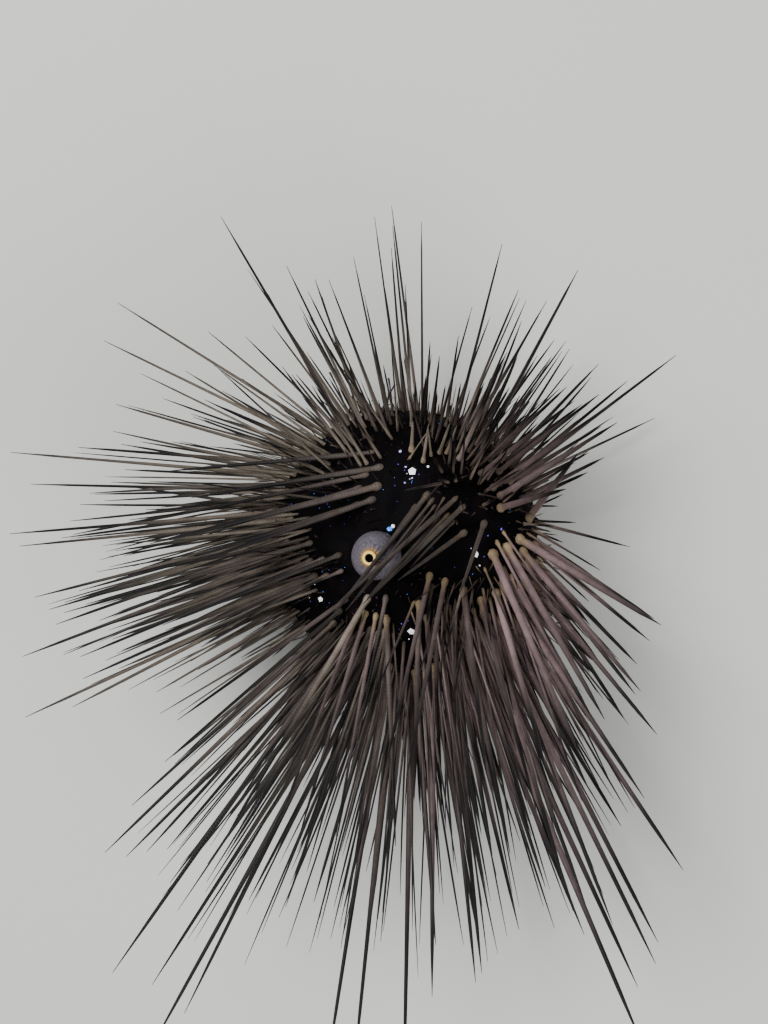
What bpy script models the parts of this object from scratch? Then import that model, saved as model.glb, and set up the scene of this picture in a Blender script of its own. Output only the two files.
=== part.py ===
# A long-spined sea urchin at life size, as a still model. Metres, +Z up.
# It stands mouth down on its short oral spines, on the plane z = 0.
# The shell, called the test, is parted into its five narrow ambulacra, where the tube feet grow,
# and five wide interambulacra. Each zone is one solid with its own spines.
import math
import random

import bmesh
import bpy
import numpy as np
from mathutils import Vector

MM = 0.001
GAP = 0.3 * MM  # air kept between pieces that touch

# Test: two half superellipses that meet at the ambitus, its widest ring
TEST_RADIUS = 35 * MM
CROWN_HEIGHT = 22 * MM
CROWN_POWER = 2.15
BELLY_DEPTH = 15 * MM
BELLY_POWER = 2.7
BELLY_LIFT = 9 * MM  # underside over the floor
AMBITUS_Z = BELLY_LIFT + BELLY_DEPTH
POLE_Z = AMBITUS_Z + CROWN_HEIGHT

# Zones round the axis, and the core that they leave open
ZONE_PAIRS = 5
FIRST_ZONE = math.radians(72)  # the middle of the first interambulacrum, from +X
WIDE_ANGLE = math.radians(46)
NARROW_ANGLE = math.radians(360 / ZONE_PAIRS) - WIDE_ANGLE
WIDE_STEPS = 6
NARROW_STEPS = 3
CORE_RADIUS = 1.6 * MM

# Apical disc and anal cone on top
DISC_RADIUS = 7.6 * MM
DISC_DEPTH = 3 * MM
PLATE_RADIUS = 1.7 * MM
PLATE_RISE = 0.8 * MM
PLATE_RING = 5.6 * MM
CONE_RADIUS = 6.2 * MM
CONE_NECK = 3.6 * MM
VENT_SEAT = 2.15 * MM
VENT_RADIUS = 0.95 * MM
VENT_DEPTH = 3 * MM
RING_RADIUS = 2.0 * MM
RING_HEIGHT = 0.8 * MM

# Mouth below
MOUTH_RADIUS = 12.5 * MM
MOUTH_DEPTH = 3.5 * MM
LIP_RADIUS = 4.4 * MM
LIP_DROP = 1.2 * MM
BUCCAL_RADIUS = 1.0 * MM
BUCCAL_RING = 8.4 * MM
BUCCAL_HEIGHT = 1.8 * MM
BUCCAL_TURN = math.radians(9)  # of each foot of a pair from its zone's middle
JAW_RADIUS = LIP_RADIUS - 0.5 * MM
JAW_TIP_RADIUS = 2.4 * MM
TOOTH_LENGTH = 4.2 * MM
TOOTH_WIDTH = 1.5 * MM
TOOTH_DEPTH = 0.9 * MM
TOOTH_TAPER = 0.65
TOOTH_CURVE = 0.78  # how far its tip bends in to the axis

# Spines
ROW_SPACING = 4.3 * MM
COLUMN_SPACING = 4.6 * MM
SIDE_MARGIN = 1.9 * MM  # from a zone's edge to its nearest spine
PAIR_OFFSET = 2.3 * MM  # half the space between an ambulacrum's two columns
BARE_SHARE = 0.36  # above this row a wide zone's middle is bare
ROOT_DEPTH = 1.3 * MM
POINT_SHARE = 0.88  # where the taper steepens to the point
POINT_THICKNESS = 0.44
THIN_ROOT = 0.72 * MM  # root radius of the shortest spines
THICK_ROOT = 1.2 * MM  # and of the longest
LONGEST = 130 * MM
SPINE_SIDES = 4
SPINE_AIR = 0.6 * MM
STEEPEST_LEAN = math.radians(66)
FOOT_SHARE = 0.8  # rows under this one stand on the floor
FOOT_TIP = 0.8  # thickness of a standing spine at the floor, as a share of its root's
FOOT_SPLAY = 0.55
UPRIGHT_SHARE = 0.93  # under this row they don't splay
FOOT_STEEPNESS = 0.6  # least drop of a standing spine, as a share of its length
TIP_CLEARANCE = 1.5 * MM
PULL = 0.72  # how far a spine turns from its own normal to its tuft
CROWN_PULL = 0.9  # and on the crown's side at CROWN_FROM to the crown's tuft
CROWN_AIM = (234, 73)
CROWN_FROM = math.radians(25)
CROWN_ROWS = (0.2, 0.42)  # that pull fades between these rows
WOBBLE = 0.055
WOBBLE_GROWTH = 1 / 12  # each try turns a spine that much further
TRIES = 60
UNCUT_TRIES = 20  # later tries also shorten it
CUT = 0.97
FIRST_ROW = 0.45  # the longest spines are placed first
EDGE_REACH = 16 * MM  # how far from its root a spine can meet a zone's edge
SEED = 2

# The length of a spine along its row, from the disc's edge at 0 to the mouth's at 1
LENGTH_BY_ROW = ((0.0, 58), (0.12, 76), (0.28, 94), (0.5, 100), (0.62, 84), (0.72, 54), (0.8, 28), (1.0, 14))

# Tufts that the spines gather in: azimuth of the roots from +X, azimuth and height angle of the aim,
# share of the full length, and how many of its spines are that long
TUFTS = (
    (235, 218, 6, 0.46, 0.8),
    (220, 211, 6, 0.47, 0.8),
    (205, 205, 10, 0.86, 0.35),
    (190, 203, 12, 0.88, 0.4),
    (176, 200, 14, 0.84, 0.45),
    (158, 198, 16, 0.79, 0.45),
    (140, 180, 14, 0.82, 0.45),
    (124, 146, 14, 0.74, 0.25),
    (107, 112, 20, 0.70, 0.15),
    (90, 92, 32, 0.56, 0.15),
    (72, 70, 40, 0.58, 0.15),
    (54, 55, 30, 0.78, 0.25),
    (37, 46, 34, 0.66, 0.35),
    (20, 28, 44, 0.44, 0.4),
    (4, -46, 40, 0.54, 0.5),
    (-10, -64, 32, 0.66, 0.5),
    (-26, -66, 22, 0.86, 0.4),
    (-42, -67, 16, 1.06, 0.36),
    (-58, -73, 12, 1.08, 0.3),
    (-74, -81, 12, 1.02, 0.22),
    (-87, -90, 13, 1.06, 0.3),
    (-98, -104, 10, 1.22, 0.3),
    (-109, -124, 12, 1.28, 0.35),
    (-119, -126, 14, 1.40, 0.6),
)
STUNTED = (0.24, 0.76)  # length shares of a tuft's other spines
STUNTED_POWER = 1.5  # over 1, more of them are near the shortest
TUFT_FOCUS = 60

# Colours, linear, with roughness
BLACK_SKIN = ((0.012, 0.010, 0.014), 0.45)
PURPLE_BLACK = ((0.020, 0.014, 0.020), 0.35)
GREY_MAUVE = ((0.115, 0.105, 0.135), 0.5)
AMBER = ((0.80, 0.36, 0.07), 0.4)
RED_BROWN = ((0.090, 0.035, 0.030), 0.55)
TOOTH_WHITE = ((0.80, 0.78, 0.70), 0.35)


def meridian_table():
    # radius, height and length of arc from the disc's edge down to the mouth's
    turns = np.radians(np.linspace(90, -90, 1441))
    crown = turns >= 0
    power = np.where(crown, CROWN_POWER, BELLY_POWER)
    reach = np.where(crown, CROWN_HEIGHT, BELLY_DEPTH)
    radius = TEST_RADIUS * np.abs(np.cos(turns)) ** (2 / power)
    height = AMBITUS_Z + np.sign(turns) * reach * np.abs(np.sin(turns)) ** (2 / power)
    kept = np.where(crown, radius >= DISC_RADIUS + GAP, radius >= MOUTH_RADIUS + GAP)
    radius, height = radius[kept], height[kept]
    steps = np.hypot(np.diff(radius), np.diff(height))
    return radius, height, np.concatenate([[0], np.cumsum(steps)])


MERIDIAN = meridian_table()
ROWS = round(MERIDIAN[2][-1] / ROW_SPACING)


def on_meridian(share):
    # (radius, height) of the test there
    arc = share * MERIDIAN[2][-1]
    return float(np.interp(arc, MERIDIAN[2], MERIDIAN[0])), float(np.interp(arc, MERIDIAN[2], MERIDIAN[1]))


def gradient(radius, height):
    # value and slopes of the test's implicit surface, zero on the shell
    up = height >= AMBITUS_Z
    power = np.where(up, CROWN_POWER, BELLY_POWER)
    reach = np.where(up, CROWN_HEIGHT, BELLY_DEPTH)
    side = radius / TEST_RADIUS
    rise = np.abs(height - AMBITUS_Z) / reach
    value = side**power + rise**power - 1
    out = power * side ** (power - 1) / TEST_RADIUS
    along = np.sign(height - AMBITUS_Z) * power * rise ** (power - 1) / reach
    return value, out, along


def height_over_test(points):
    value, out, along = gradient(np.hypot(points[:, 0], points[:, 1]), points[:, 2])
    return value / np.hypot(out, along)


def direction(azimuth, elevation):
    level = math.cos(elevation)
    return np.array([level * math.cos(azimuth), level * math.sin(azimuth), math.sin(elevation)])


def unit(vector):
    return vector / np.linalg.norm(vector)


def zone_columns(wide, share, radius, angle):
    # sideways places of the spines in one row of a zone
    half = radius * angle / 2 - SIDE_MARGIN
    if not wide:
        return [-min(half, PAIR_OFFSET), min(half, PAIR_OFFSET)] if half > SIDE_MARGIN / 2 else [0.0]
    if half < SIDE_MARGIN / 2:
        return [0.0]
    count = int(2 * half / COLUMN_SPACING) + 1
    places = np.linspace(-half, half, max(count, 2))
    if share < BARE_SHARE:
        places = [place for place in places if abs(place) > half - COLUMN_SPACING / 2]
    return list(places)


def zones():
    # name, kind, middle azimuth and angle of each zone
    found = []
    for pair in range(ZONE_PAIRS):
        middle = FIRST_ZONE + pair * math.tau / ZONE_PAIRS
        found.append((f"interambulacrum_{pair + 1}", True, middle, WIDE_ANGLE))
        found.append((f"ambulacrum_{pair + 1}", False, middle + math.pi / ZONE_PAIRS, NARROW_ANGLE))
    return found


def spine_roots(draw):
    roots = []
    for zone, (_, wide, middle, angle) in enumerate(zones()):
        for row in range(ROWS):
            share = (row + 0.5 + draw.uniform(-0.12, 0.12)) / ROWS
            radius, height = on_meridian(share)
            for place in zone_columns(wide, share, radius, angle):
                azimuth = middle + (place + draw.uniform(-0.25, 0.25) * MM) / radius
                _, out, along = gradient(radius, height)
                normal = direction(azimuth, math.atan2(along, out))
                foot = np.array([radius * math.cos(azimuth), radius * math.sin(azimuth), height])
                roots.append({"zone": zone, "share": share, "azimuth": azimuth, "foot": foot, "normal": normal})
    return roots


def tuft_at(azimuth):
    # aim, length share and share of long spines that the tufts give there
    places, turns, heights, reaches, shares = np.array(TUFTS).T
    weights = np.exp(TUFT_FOCUS * (np.cos(azimuth - np.radians(places)) - 1))
    weights /= weights.sum()
    aims = np.array([direction(turn, height) for turn, height in zip(np.radians(turns), np.radians(heights))])
    return unit(weights @ aims), weights @ reaches, weights @ shares


def aimed(root, draw):
    # direction and length of a free spine before it is moved clear of others
    aim, reach, fullness = tuft_at(root["azimuth"])
    if draw.random() > fullness:
        reach *= np.interp(draw.random() ** STUNTED_POWER, (0, 1), STUNTED)
    way = unit((1 - PULL) * root["normal"] + PULL * aim)
    crown = CROWN_PULL * float(np.interp(root["share"], CROWN_ROWS, (1, 0)))
    crown *= max(0.0, math.cos(root["azimuth"] - CROWN_FROM))
    way = unit((1 - crown) * way + crown * direction(*map(math.radians, CROWN_AIM)))
    length = float(np.interp(root["share"], *zip(*LENGTH_BY_ROW))) * MM
    return way, min(LONGEST, length * reach * draw.triangular(0.8, 1.06, 0.98))


def off_floor(foot, way, length):
    lowest = (TIP_CLEARANCE - foot[2]) / length
    if way[2] >= lowest:
        return way
    level = unit(way * (1, 1, 0)) * math.sqrt(1 - lowest**2)
    return level + np.array([0, 0, lowest])


def within_lean(way, normal):
    # a spine leans at most so far from its own normal
    lean = math.acos(min(1.0, float(way @ normal)))
    if lean <= STEEPEST_LEAN:
        return way
    side = unit(way - (way @ normal) * normal)
    return math.cos(STEEPEST_LEAN) * normal + math.sin(STEEPEST_LEAN) * side


def root_radius(length):
    return THIN_ROOT + (THICK_ROOT - THIN_ROOT) * min(1.0, length / LONGEST)


def thickness(share, radius, standing):
    taper = np.interp(share, (0, 1), (1, FOOT_TIP))
    return radius * np.where(standing, taper, np.interp(share, (0, POINT_SHARE, 1), (1, POINT_THICKNESS, 0)))


def closest(start, end, starts, ends):
    # distance from one straight spine to each of the others, and where along both
    own, other, apart = end - start, ends - starts, start - starts
    own_square, other_square = own @ own, np.einsum("ij,ij->i", other, other)
    own_apart, other_apart, both = apart @ own, np.einsum("ij,ij->i", other, apart), other @ own
    spread = np.maximum(own_square * other_square - both**2, 1e-18)
    here = np.clip((both * other_apart - own_apart * other_square) / spread, 0, 1)
    there = np.clip((both * here + other_apart) / other_square, 0, 1)
    here = np.clip((both * there - own_apart) / own_square, 0, 1)
    gap = start + own * here[:, None] - starts - other * there[:, None]
    return np.linalg.norm(gap, axis=1), here, there


def clear_of_zones(spine, zone):
    # near its root a spine is inside its own zone, or over the shell
    _, _, middle, angle = zone
    along = np.linspace(0, min(spine["length"], EDGE_REACH), 33)
    points = spine["start"] + along[:, None] * spine["way"]
    radius = np.hypot(points[:, 0], points[:, 1])
    turn = np.arctan2(points[:, 1], points[:, 0]) - middle
    turn = (turn + math.pi) % math.tau - math.pi
    inside = radius * np.sin(np.clip(angle / 2 - np.abs(turn), -1.5, 1.5)) - GAP / 2
    over = height_over_test(points)
    thick = spine["radius"]
    own = (inside > thick) & ((points[:, 2] < AMBITUS_Z) | (radius > DISC_RADIUS + GAP + thick))
    mouth = (points[:, 2] > AMBITUS_Z) | (radius > MOUTH_RADIUS + GAP + thick)
    plates = np.where(radius < DISC_RADIUS + thick, PLATE_RISE, 0)
    return bool(((own & mouth) | (over > thick + GAP + plates)).all())


def clear_of_mouth(spine):
    # under the shell a spine keeps outside the ring of buccal feet and the teeth
    points = spine["start"] + np.linspace(0, spine["length"], 65)[:, None] * spine["way"]
    radius = np.hypot(points[:, 0], points[:, 1])
    return bool(((points[:, 2] > AMBITUS_Z) | (radius > BUCCAL_RING + BUCCAL_RADIUS + GAP + spine["radius"])).all())


def clear_of_cone(spine):
    along = np.linspace(0, spine["length"], 121)
    points = spine["start"] + along[:, None] * spine["way"]
    middle = np.array([0, 0, cone_middle()])
    return bool((np.linalg.norm(points - middle, axis=1) > CONE_RADIUS + spine["radius"] + 2 * GAP).all())


def clear_of_spines(spine, placed):
    if not placed:
        return True
    starts = np.array([other["start"] for other in placed])
    ends = np.array([other["tip"] for other in placed])
    radii = np.array([other["radius"] for other in placed])
    standing = np.array([other["standing"] for other in placed])
    gap, here, there = closest(spine["start"], spine["tip"], starts, ends)
    own = thickness(here, spine["radius"], spine["standing"])
    return bool((gap - own - thickness(there, radii, standing) > SPINE_AIR).all())


def made_spine(root, way, length, standing):
    start = root["foot"] - ROOT_DEPTH * root["normal"]
    if standing:
        length = -start[2] / way[2]
    radius = root_radius(length)
    tip = start + length * way
    return {"zone": root["zone"], "start": start, "way": way, "length": length, "radius": radius,
            "tip": tip, "standing": standing}


def place_spine(root, placed, draw):
    # the first try that is clear of the floor, the shell, the cone and every spine before it
    standing = root["share"] > FOOT_SHARE
    if standing:
        out = direction(root["azimuth"], 0)
        way, length = unit(np.array([0, 0, -1]) + FOOT_SPLAY * (root["share"] < UPRIGHT_SHARE) * out), LONGEST
    else:
        way, length = aimed(root, draw)
    for attempt in range(TRIES):
        loose = WOBBLE * (1 + attempt * WOBBLE_GROWTH)
        turned = unit(way + np.array([draw.gauss(0, loose) for _ in range(3)]))
        turned = within_lean(turned, root["normal"])
        if not standing:
            turned = off_floor(root["foot"], turned, length)
        elif turned[2] > -FOOT_STEEPNESS:
            continue
        spine = made_spine(root, turned, length, standing)
        own_space = clear_of_zones(spine, zones()[root["zone"]]) and clear_of_cone(spine) and clear_of_mouth(spine)
        if own_space and clear_of_spines(spine, placed):
            return spine
        if attempt > UNCUT_TRIES and not standing:
            length *= CUT
    return None


def plan_spines():
    draw = random.Random(SEED)
    roots = spine_roots(draw)
    roots.sort(key=lambda root: (root["share"] <= FOOT_SHARE, abs(root["share"] - FIRST_ROW)))
    placed = []
    for root in roots:
        spine = place_spine(root, placed, draw)
        if spine:
            placed.append(spine)
    return placed


def new_object(name, builder):
    mesh = bpy.data.meshes.new(name)
    bmesh.ops.recalc_face_normals(builder, faces=builder.faces)
    builder.to_mesh(mesh)
    builder.free()
    made = bpy.data.objects.new(name, mesh)
    bpy.context.scene.collection.objects.link(made)
    return made


def spine_object(name, spine):
    # a four-sided taper, flat where it stands on the floor and pointed where it is free
    way = Vector(spine["way"])
    side = way.orthogonal().normalized()
    across = way.cross(side)
    builder = bmesh.new()

    def ring(share):
        corners = []
        centre = Vector(spine["start"]) + way * spine["length"] * share
        wide = float(thickness(share, spine["radius"], spine["standing"]))
        for corner in range(SPINE_SIDES):
            turn = math.tau * corner / SPINE_SIDES
            point = centre + wide * (math.cos(turn) * side + math.sin(turn) * across)
            if spine["standing"] and share == 1:
                point -= way * (point.z / way.z)
            corners.append(builder.verts.new(point))
        return corners

    shares = (0, 1) if spine["standing"] else (0, POINT_SHARE)
    rings = [ring(share) for share in shares]
    builder.faces.new(rings[0])
    for corner in range(SPINE_SIDES):
        after = (corner + 1) % SPINE_SIDES
        builder.faces.new((rings[0][corner], rings[0][after], rings[1][after], rings[1][corner]))
    if spine["standing"]:
        builder.faces.new(rings[1])
    else:
        tip = builder.verts.new(spine["tip"])
        for corner in range(SPINE_SIDES):
            builder.faces.new((rings[1][corner], rings[1][(corner + 1) % SPINE_SIDES], tip))
    return new_object(name, builder)


def zone_object(name, middle, angle, steps):
    # a wedge of the test, whose two sides are flat and stand half a gap off the zone's edges
    disc_z = on_meridian(0)[1] - DISC_DEPTH
    mouth_z = on_meridian(1)[1] + MOUTH_DEPTH
    outline = [(CORE_RADIUS, disc_z), (DISC_RADIUS + GAP, disc_z)]
    outline += [on_meridian(row / ROWS) for row in range(ROWS + 1)]
    outline += [(MOUTH_RADIUS + GAP, mouth_z), (CORE_RADIUS, mouth_z)]
    builder = bmesh.new()
    stations = []
    for step in range(steps + 1):
        points = []
        for radius, height in outline:
            half = angle / 2 - math.asin(GAP / 2 / radius)
            turn = middle + half * (2 * step / steps - 1)
            points.append(builder.verts.new((radius * math.cos(turn), radius * math.sin(turn), height)))
        stations.append(points)
    for before, after in zip(stations, stations[1:]):
        for corner in range(len(outline)):
            other = (corner + 1) % len(outline)
            builder.faces.new((before[corner], after[corner], after[other], before[other]))
    builder.faces.new(stations[0])
    builder.faces.new(stations[-1])
    bmesh.ops.triangulate(builder, faces=builder.faces)
    return new_object(name, builder)


def turned_object(name, outline, steps):
    # an outline of (radius, height) points turned once round the axis and closed
    builder = bmesh.new()
    points = [builder.verts.new((radius, 0, height)) for radius, height in outline]
    edges = [builder.edges.new((a, b)) for a, b in zip(points, points[1:] + points[:1])]
    bmesh.ops.spin(
        builder, geom=points + edges, cent=(0, 0, 0), axis=(0, 0, 1), angle=math.tau, steps=steps, use_merge=True
    )
    bmesh.ops.remove_doubles(builder, verts=builder.verts, dist=0.01 * MM)
    return new_object(name, builder)


def dome_object(name, centre, radius, rise):
    builder = bmesh.new()
    bmesh.ops.create_uvsphere(builder, u_segments=8, v_segments=6, radius=1)
    bmesh.ops.scale(builder, verts=builder.verts, vec=(radius, radius, rise))
    bmesh.ops.translate(builder, verts=builder.verts, vec=centre)
    return new_object(name, builder)


def tooth_object(name, azimuth, top_z):
    # a curved blade that narrows to a chisel tip at the middle of the mouth
    out = Vector((math.cos(azimuth), math.sin(azimuth), 0))
    across = Vector((-out.y, out.x, 0))
    builder = bmesh.new()
    rings = []
    for share in (0, 0.4, 0.75, 1):
        centre = out * (JAW_TIP_RADIUS * (1 - TOOTH_CURVE * share**1.6))
        centre.z = top_z - TOOTH_LENGTH * share
        wide = TOOTH_WIDTH / 2 * (1 - TOOTH_TAPER * share)
        deep = TOOTH_DEPTH / 2 * (1 - TOOTH_TAPER * share / 2)
        corners = [(-wide, -deep), (wide, -deep), (wide, deep), (-wide, deep)]
        rings.append([builder.verts.new(centre + across * x + out * y) for x, y in corners])
    builder.faces.new(rings[0])
    builder.faces.new(rings[-1])
    for before, after in zip(rings, rings[1:]):
        for corner in range(4):
            other = (corner + 1) % 4
            builder.faces.new((before[corner], before[other], after[other], after[corner]))
    return new_object(name, builder)


def keep_largest(made):
    # drops scraps and sealed hollows that a union leaves
    builder = bmesh.new()
    builder.from_mesh(made.data)
    loose, shells = set(builder.faces), []
    while loose:
        front = [loose.pop()]
        shell = list(front)
        while front:
            for edge in front.pop().edges:
                for face in edge.link_faces:
                    if face in loose:
                        loose.remove(face)
                        front.append(face)
                        shell.append(face)
        shells.append(shell)
    shells.sort(key=lambda shell: sum(face.calc_area() for face in shell))
    for shell in shells[:-1]:
        bmesh.ops.delete(builder, geom=shell, context="FACES")
    bmesh.ops.delete(builder, geom=[v for v in builder.verts if not v.link_faces], context="VERTS")
    builder.to_mesh(made.data)
    builder.free()


def join_pieces(made, pieces):
    # one Boolean union of the node with the pieces that grow from it
    group = bpy.data.collections.new("grown")
    bpy.context.scene.collection.children.link(group)
    for piece in pieces:
        bpy.context.scene.collection.objects.unlink(piece)
        group.objects.link(piece)
    union = made.modifiers.new("union", "BOOLEAN")
    union.operation = "UNION"
    union.operand_type = "COLLECTION"
    union.collection = group
    union.solver = "MANIFOLD"
    graph = bpy.context.evaluated_depsgraph_get()
    joined = bpy.data.meshes.new_from_object(made.evaluated_get(graph))
    made.modifiers.clear()
    made.data = joined
    for piece in pieces:
        bpy.data.objects.remove(piece)
    bpy.data.collections.remove(group)
    keep_largest(made)


def finish_node(made, colour, owner):
    tone, roughness = colour
    material = bpy.data.materials.new(made.name)
    material.use_nodes = True
    shader = material.node_tree.nodes["Principled BSDF"]
    shader.inputs["Base Color"].default_value = (*tone, 1)
    shader.inputs["Roughness"].default_value = roughness
    made.data.materials.clear()
    made.data.materials.append(material)
    made.parent = owner
    return made


def build_zones(spines, owner):
    for number, (name, wide, middle, angle) in enumerate(zones()):
        zone = zone_object(name, middle, angle, WIDE_STEPS if wide else NARROW_STEPS)
        own = [spine for spine in spines if spine["zone"] == number]
        join_pieces(zone, [spine_object(f"spine_{place}", spine) for place, spine in enumerate(own)])
        finish_node(zone, PURPLE_BLACK, owner)


def build_apical_disc(owner):
    rim_z = on_meridian(0)[1]
    foot_z = rim_z - DISC_DEPTH + GAP
    outline = [(CORE_RADIUS, foot_z), (DISC_RADIUS, foot_z), (DISC_RADIUS, rim_z), (CONE_NECK + MM, POLE_Z)]
    outline += [(CORE_RADIUS, POLE_Z)]
    disc = turned_object("apical_disc", outline, 30)
    builder = bmesh.new()
    builder.from_mesh(disc.data)
    open_edges = [edge for edge in builder.edges if edge.is_boundary]
    bmesh.ops.holes_fill(builder, edges=open_edges)
    builder.to_mesh(disc.data)
    builder.free()
    plates = []
    for pair in range(ZONE_PAIRS):
        azimuth = FIRST_ZONE + pair * math.tau / ZONE_PAIRS
        centre = (PLATE_RING * math.cos(azimuth), PLATE_RING * math.sin(azimuth), (rim_z + POLE_Z) / 2)
        plates.append(dome_object(f"plate_{pair}", centre, PLATE_RADIUS, PLATE_RISE))
    join_pieces(disc, plates)
    return finish_node(disc, BLACK_SKIN, owner)


def cone_middle():
    return POLE_Z + GAP + math.sqrt(CONE_RADIUS**2 - CONE_NECK**2)


def cone_top():
    return cone_middle() + math.sqrt(CONE_RADIUS**2 - VENT_SEAT**2)


def build_anal_cone(owner):
    # a blown-up bag: most of a sphere, flat where it sits and where its ring lies, with a blind vent
    low = -math.acos(CONE_NECK / CONE_RADIUS)
    high = math.acos(VENT_SEAT / CONE_RADIUS)
    outline = [(0, POLE_Z + GAP)]
    for step in range(11):
        turn = low + (high - low) * step / 10
        outline.append((CONE_RADIUS * math.cos(turn), cone_middle() + CONE_RADIUS * math.sin(turn)))
    outline += [(VENT_RADIUS, cone_top()), (VENT_RADIUS, cone_top() - VENT_DEPTH), (0, cone_top() - VENT_DEPTH)]
    return finish_node(turned_bag("anal_cone", outline, 22), GREY_MAUVE, owner)


def turned_bag(name, outline, steps):
    # an outline that starts and ends on the axis, turned once round it
    builder = bmesh.new()
    rings = []
    for radius, height in outline:
        if radius == 0:
            rings.append([builder.verts.new((0, 0, height))] * steps)
            continue
        turns = [math.tau * step / steps for step in range(steps)]
        rings.append([builder.verts.new((radius * math.cos(t), radius * math.sin(t), height)) for t in turns])
    for before, after in zip(rings, rings[1:]):
        for step in range(steps):
            other = (step + 1) % steps
            corners = dict.fromkeys((before[step], before[other], after[other], after[step]))
            builder.faces.new(tuple(corners))
    return new_object(name, builder)


def build_anal_ring(owner):
    foot_z = cone_top() + GAP
    middle = (RING_RADIUS + VENT_RADIUS) / 2
    half = (RING_RADIUS - VENT_RADIUS) / 2
    outline = [(VENT_RADIUS, foot_z), (RING_RADIUS, foot_z)]
    for step in range(5):
        turn = math.pi * (step + 0.5) / 5
        outline.append((middle + half * math.cos(turn), foot_z + RING_HEIGHT * math.sin(turn)))
    return finish_node(turned_object("anal_ring", outline, 20), AMBER, owner)


def build_peristome(owner):
    # the skin round the mouth, with its ring of ten short buccal feet
    rim_z = on_meridian(1)[1]
    top_z = rim_z + MOUTH_DEPTH - GAP
    outline = [(LIP_RADIUS, top_z), (LIP_RADIUS, rim_z - LIP_DROP), (LIP_RADIUS + MM, rim_z - LIP_DROP)]
    outline += [(BUCCAL_RING, rim_z + 0.6 * MM), (MOUTH_RADIUS, rim_z), (MOUTH_RADIUS, top_z)]
    skin = turned_object("peristome", outline, 30)
    feet = []
    for foot in range(2 * ZONE_PAIRS):
        pair, side = divmod(foot, 2)
        azimuth = FIRST_ZONE + (pair + 0.5) * math.tau / ZONE_PAIRS + BUCCAL_TURN * (2 * side - 1)
        centre = (BUCCAL_RING * math.cos(azimuth), BUCCAL_RING * math.sin(azimuth), rim_z)
        feet.append(dome_object(f"foot_{foot}", centre, BUCCAL_RADIUS, BUCCAL_HEIGHT))
    join_pieces(skin, feet)
    return finish_node(skin, RED_BROWN, owner)


def build_lantern(owner):
    # the jaws' tip that shows in the mouth, with five teeth
    rim_z = on_meridian(1)[1]
    top_z = rim_z + MOUTH_DEPTH - GAP
    tip_z = rim_z - LIP_DROP
    outline = [(0, top_z), (JAW_RADIUS, top_z), (JAW_RADIUS, tip_z + MM)]
    outline += [(JAW_TIP_RADIUS + 0.6 * MM, tip_z), (0, tip_z)]
    jaws = turned_bag("lantern", outline, 20)
    teeth = []
    for pair in range(ZONE_PAIRS):
        azimuth = FIRST_ZONE + pair * math.tau / ZONE_PAIRS
        teeth.append(tooth_object(f"tooth_{pair}", azimuth, tip_z + 0.8 * MM))
    join_pieces(jaws, teeth)
    return finish_node(jaws, TOOTH_WHITE, owner)


def build_urchin():
    for stale in list(bpy.data.objects):
        bpy.data.objects.remove(stale)
    spines = plan_spines()
    tips = np.array([spine["tip"] for spine in spines])
    middle = (tips.min(axis=0) + tips.max(axis=0)) / 2
    owner = bpy.data.objects.new("urchin", None)
    bpy.context.scene.collection.objects.link(owner)
    owner.location = (-middle[0], -middle[1], 0)  # the origin is under the middle of the whole spread
    build_zones(spines, owner)
    build_apical_disc(owner)
    build_anal_cone(owner)
    build_anal_ring(owner)
    build_peristome(owner)
    build_lantern(owner)
    print(len(spines), "spines")


build_urchin()
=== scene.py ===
import math
import random

import bmesh
import bpy
import numpy as np
from mathutils import Matrix, Vector


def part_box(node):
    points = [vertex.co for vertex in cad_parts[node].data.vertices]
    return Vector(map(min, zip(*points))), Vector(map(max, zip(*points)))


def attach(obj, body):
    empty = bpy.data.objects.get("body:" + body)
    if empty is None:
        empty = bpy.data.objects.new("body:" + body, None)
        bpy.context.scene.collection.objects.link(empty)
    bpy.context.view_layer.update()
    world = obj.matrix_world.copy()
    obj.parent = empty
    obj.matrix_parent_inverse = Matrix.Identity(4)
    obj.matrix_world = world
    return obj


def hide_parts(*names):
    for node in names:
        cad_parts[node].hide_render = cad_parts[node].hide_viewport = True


# A black long-spined sea urchin, seen from above. The solids give the shell, the discs and the main
# spines; this script lays the skin, the markings, the finer spines and the tube feet over them.
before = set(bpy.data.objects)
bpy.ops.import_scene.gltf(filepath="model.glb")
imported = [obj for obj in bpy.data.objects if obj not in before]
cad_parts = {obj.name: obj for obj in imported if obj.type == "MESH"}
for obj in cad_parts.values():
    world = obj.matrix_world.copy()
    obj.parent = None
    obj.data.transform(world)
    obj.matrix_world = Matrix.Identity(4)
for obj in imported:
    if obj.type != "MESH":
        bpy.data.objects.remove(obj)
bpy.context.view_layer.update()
mm = 0.001
ringLow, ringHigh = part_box("anal_ring")
axisX = (ringLow.x + ringHigh.x) / 2  # the shell's own axis, off the middle of the spread
axisY = (ringLow.y + ringHigh.y) / 2
axisShift = np.array([axisX, axisY, 0.0])

shell = {
    "radius": 35 * mm,
    "crownHeight": 22 * mm,
    "crownPower": 2.15,
    "bellyDepth": 15 * mm,
    "bellyPower": 2.7,
    "ambitusZ": 24 * mm,
    "discRadius": 7.6 * mm,
    "mouthRadius": 12.5 * mm,
    "gap": 0.3 * mm,
    "pairs": 5,
    "meridianSteps": 1441,
    "firstZone": math.radians(72),
    "wideAngle": math.radians(46),
    "narrowAngle": math.radians(26),
}
poleZ = shell["ambitusZ"] + shell["crownHeight"]

view = {
    "lean": math.radians(16),  # from straight above
    "leanTo": math.radians(18),
    "distance": 620 * mm,
    "aimHeight": 42 * mm,
    "aimOffset": (-0.5 * mm, 10.15 * mm),  # the shell sits a little low in the frame
    "lens": 85.9,
}

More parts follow.
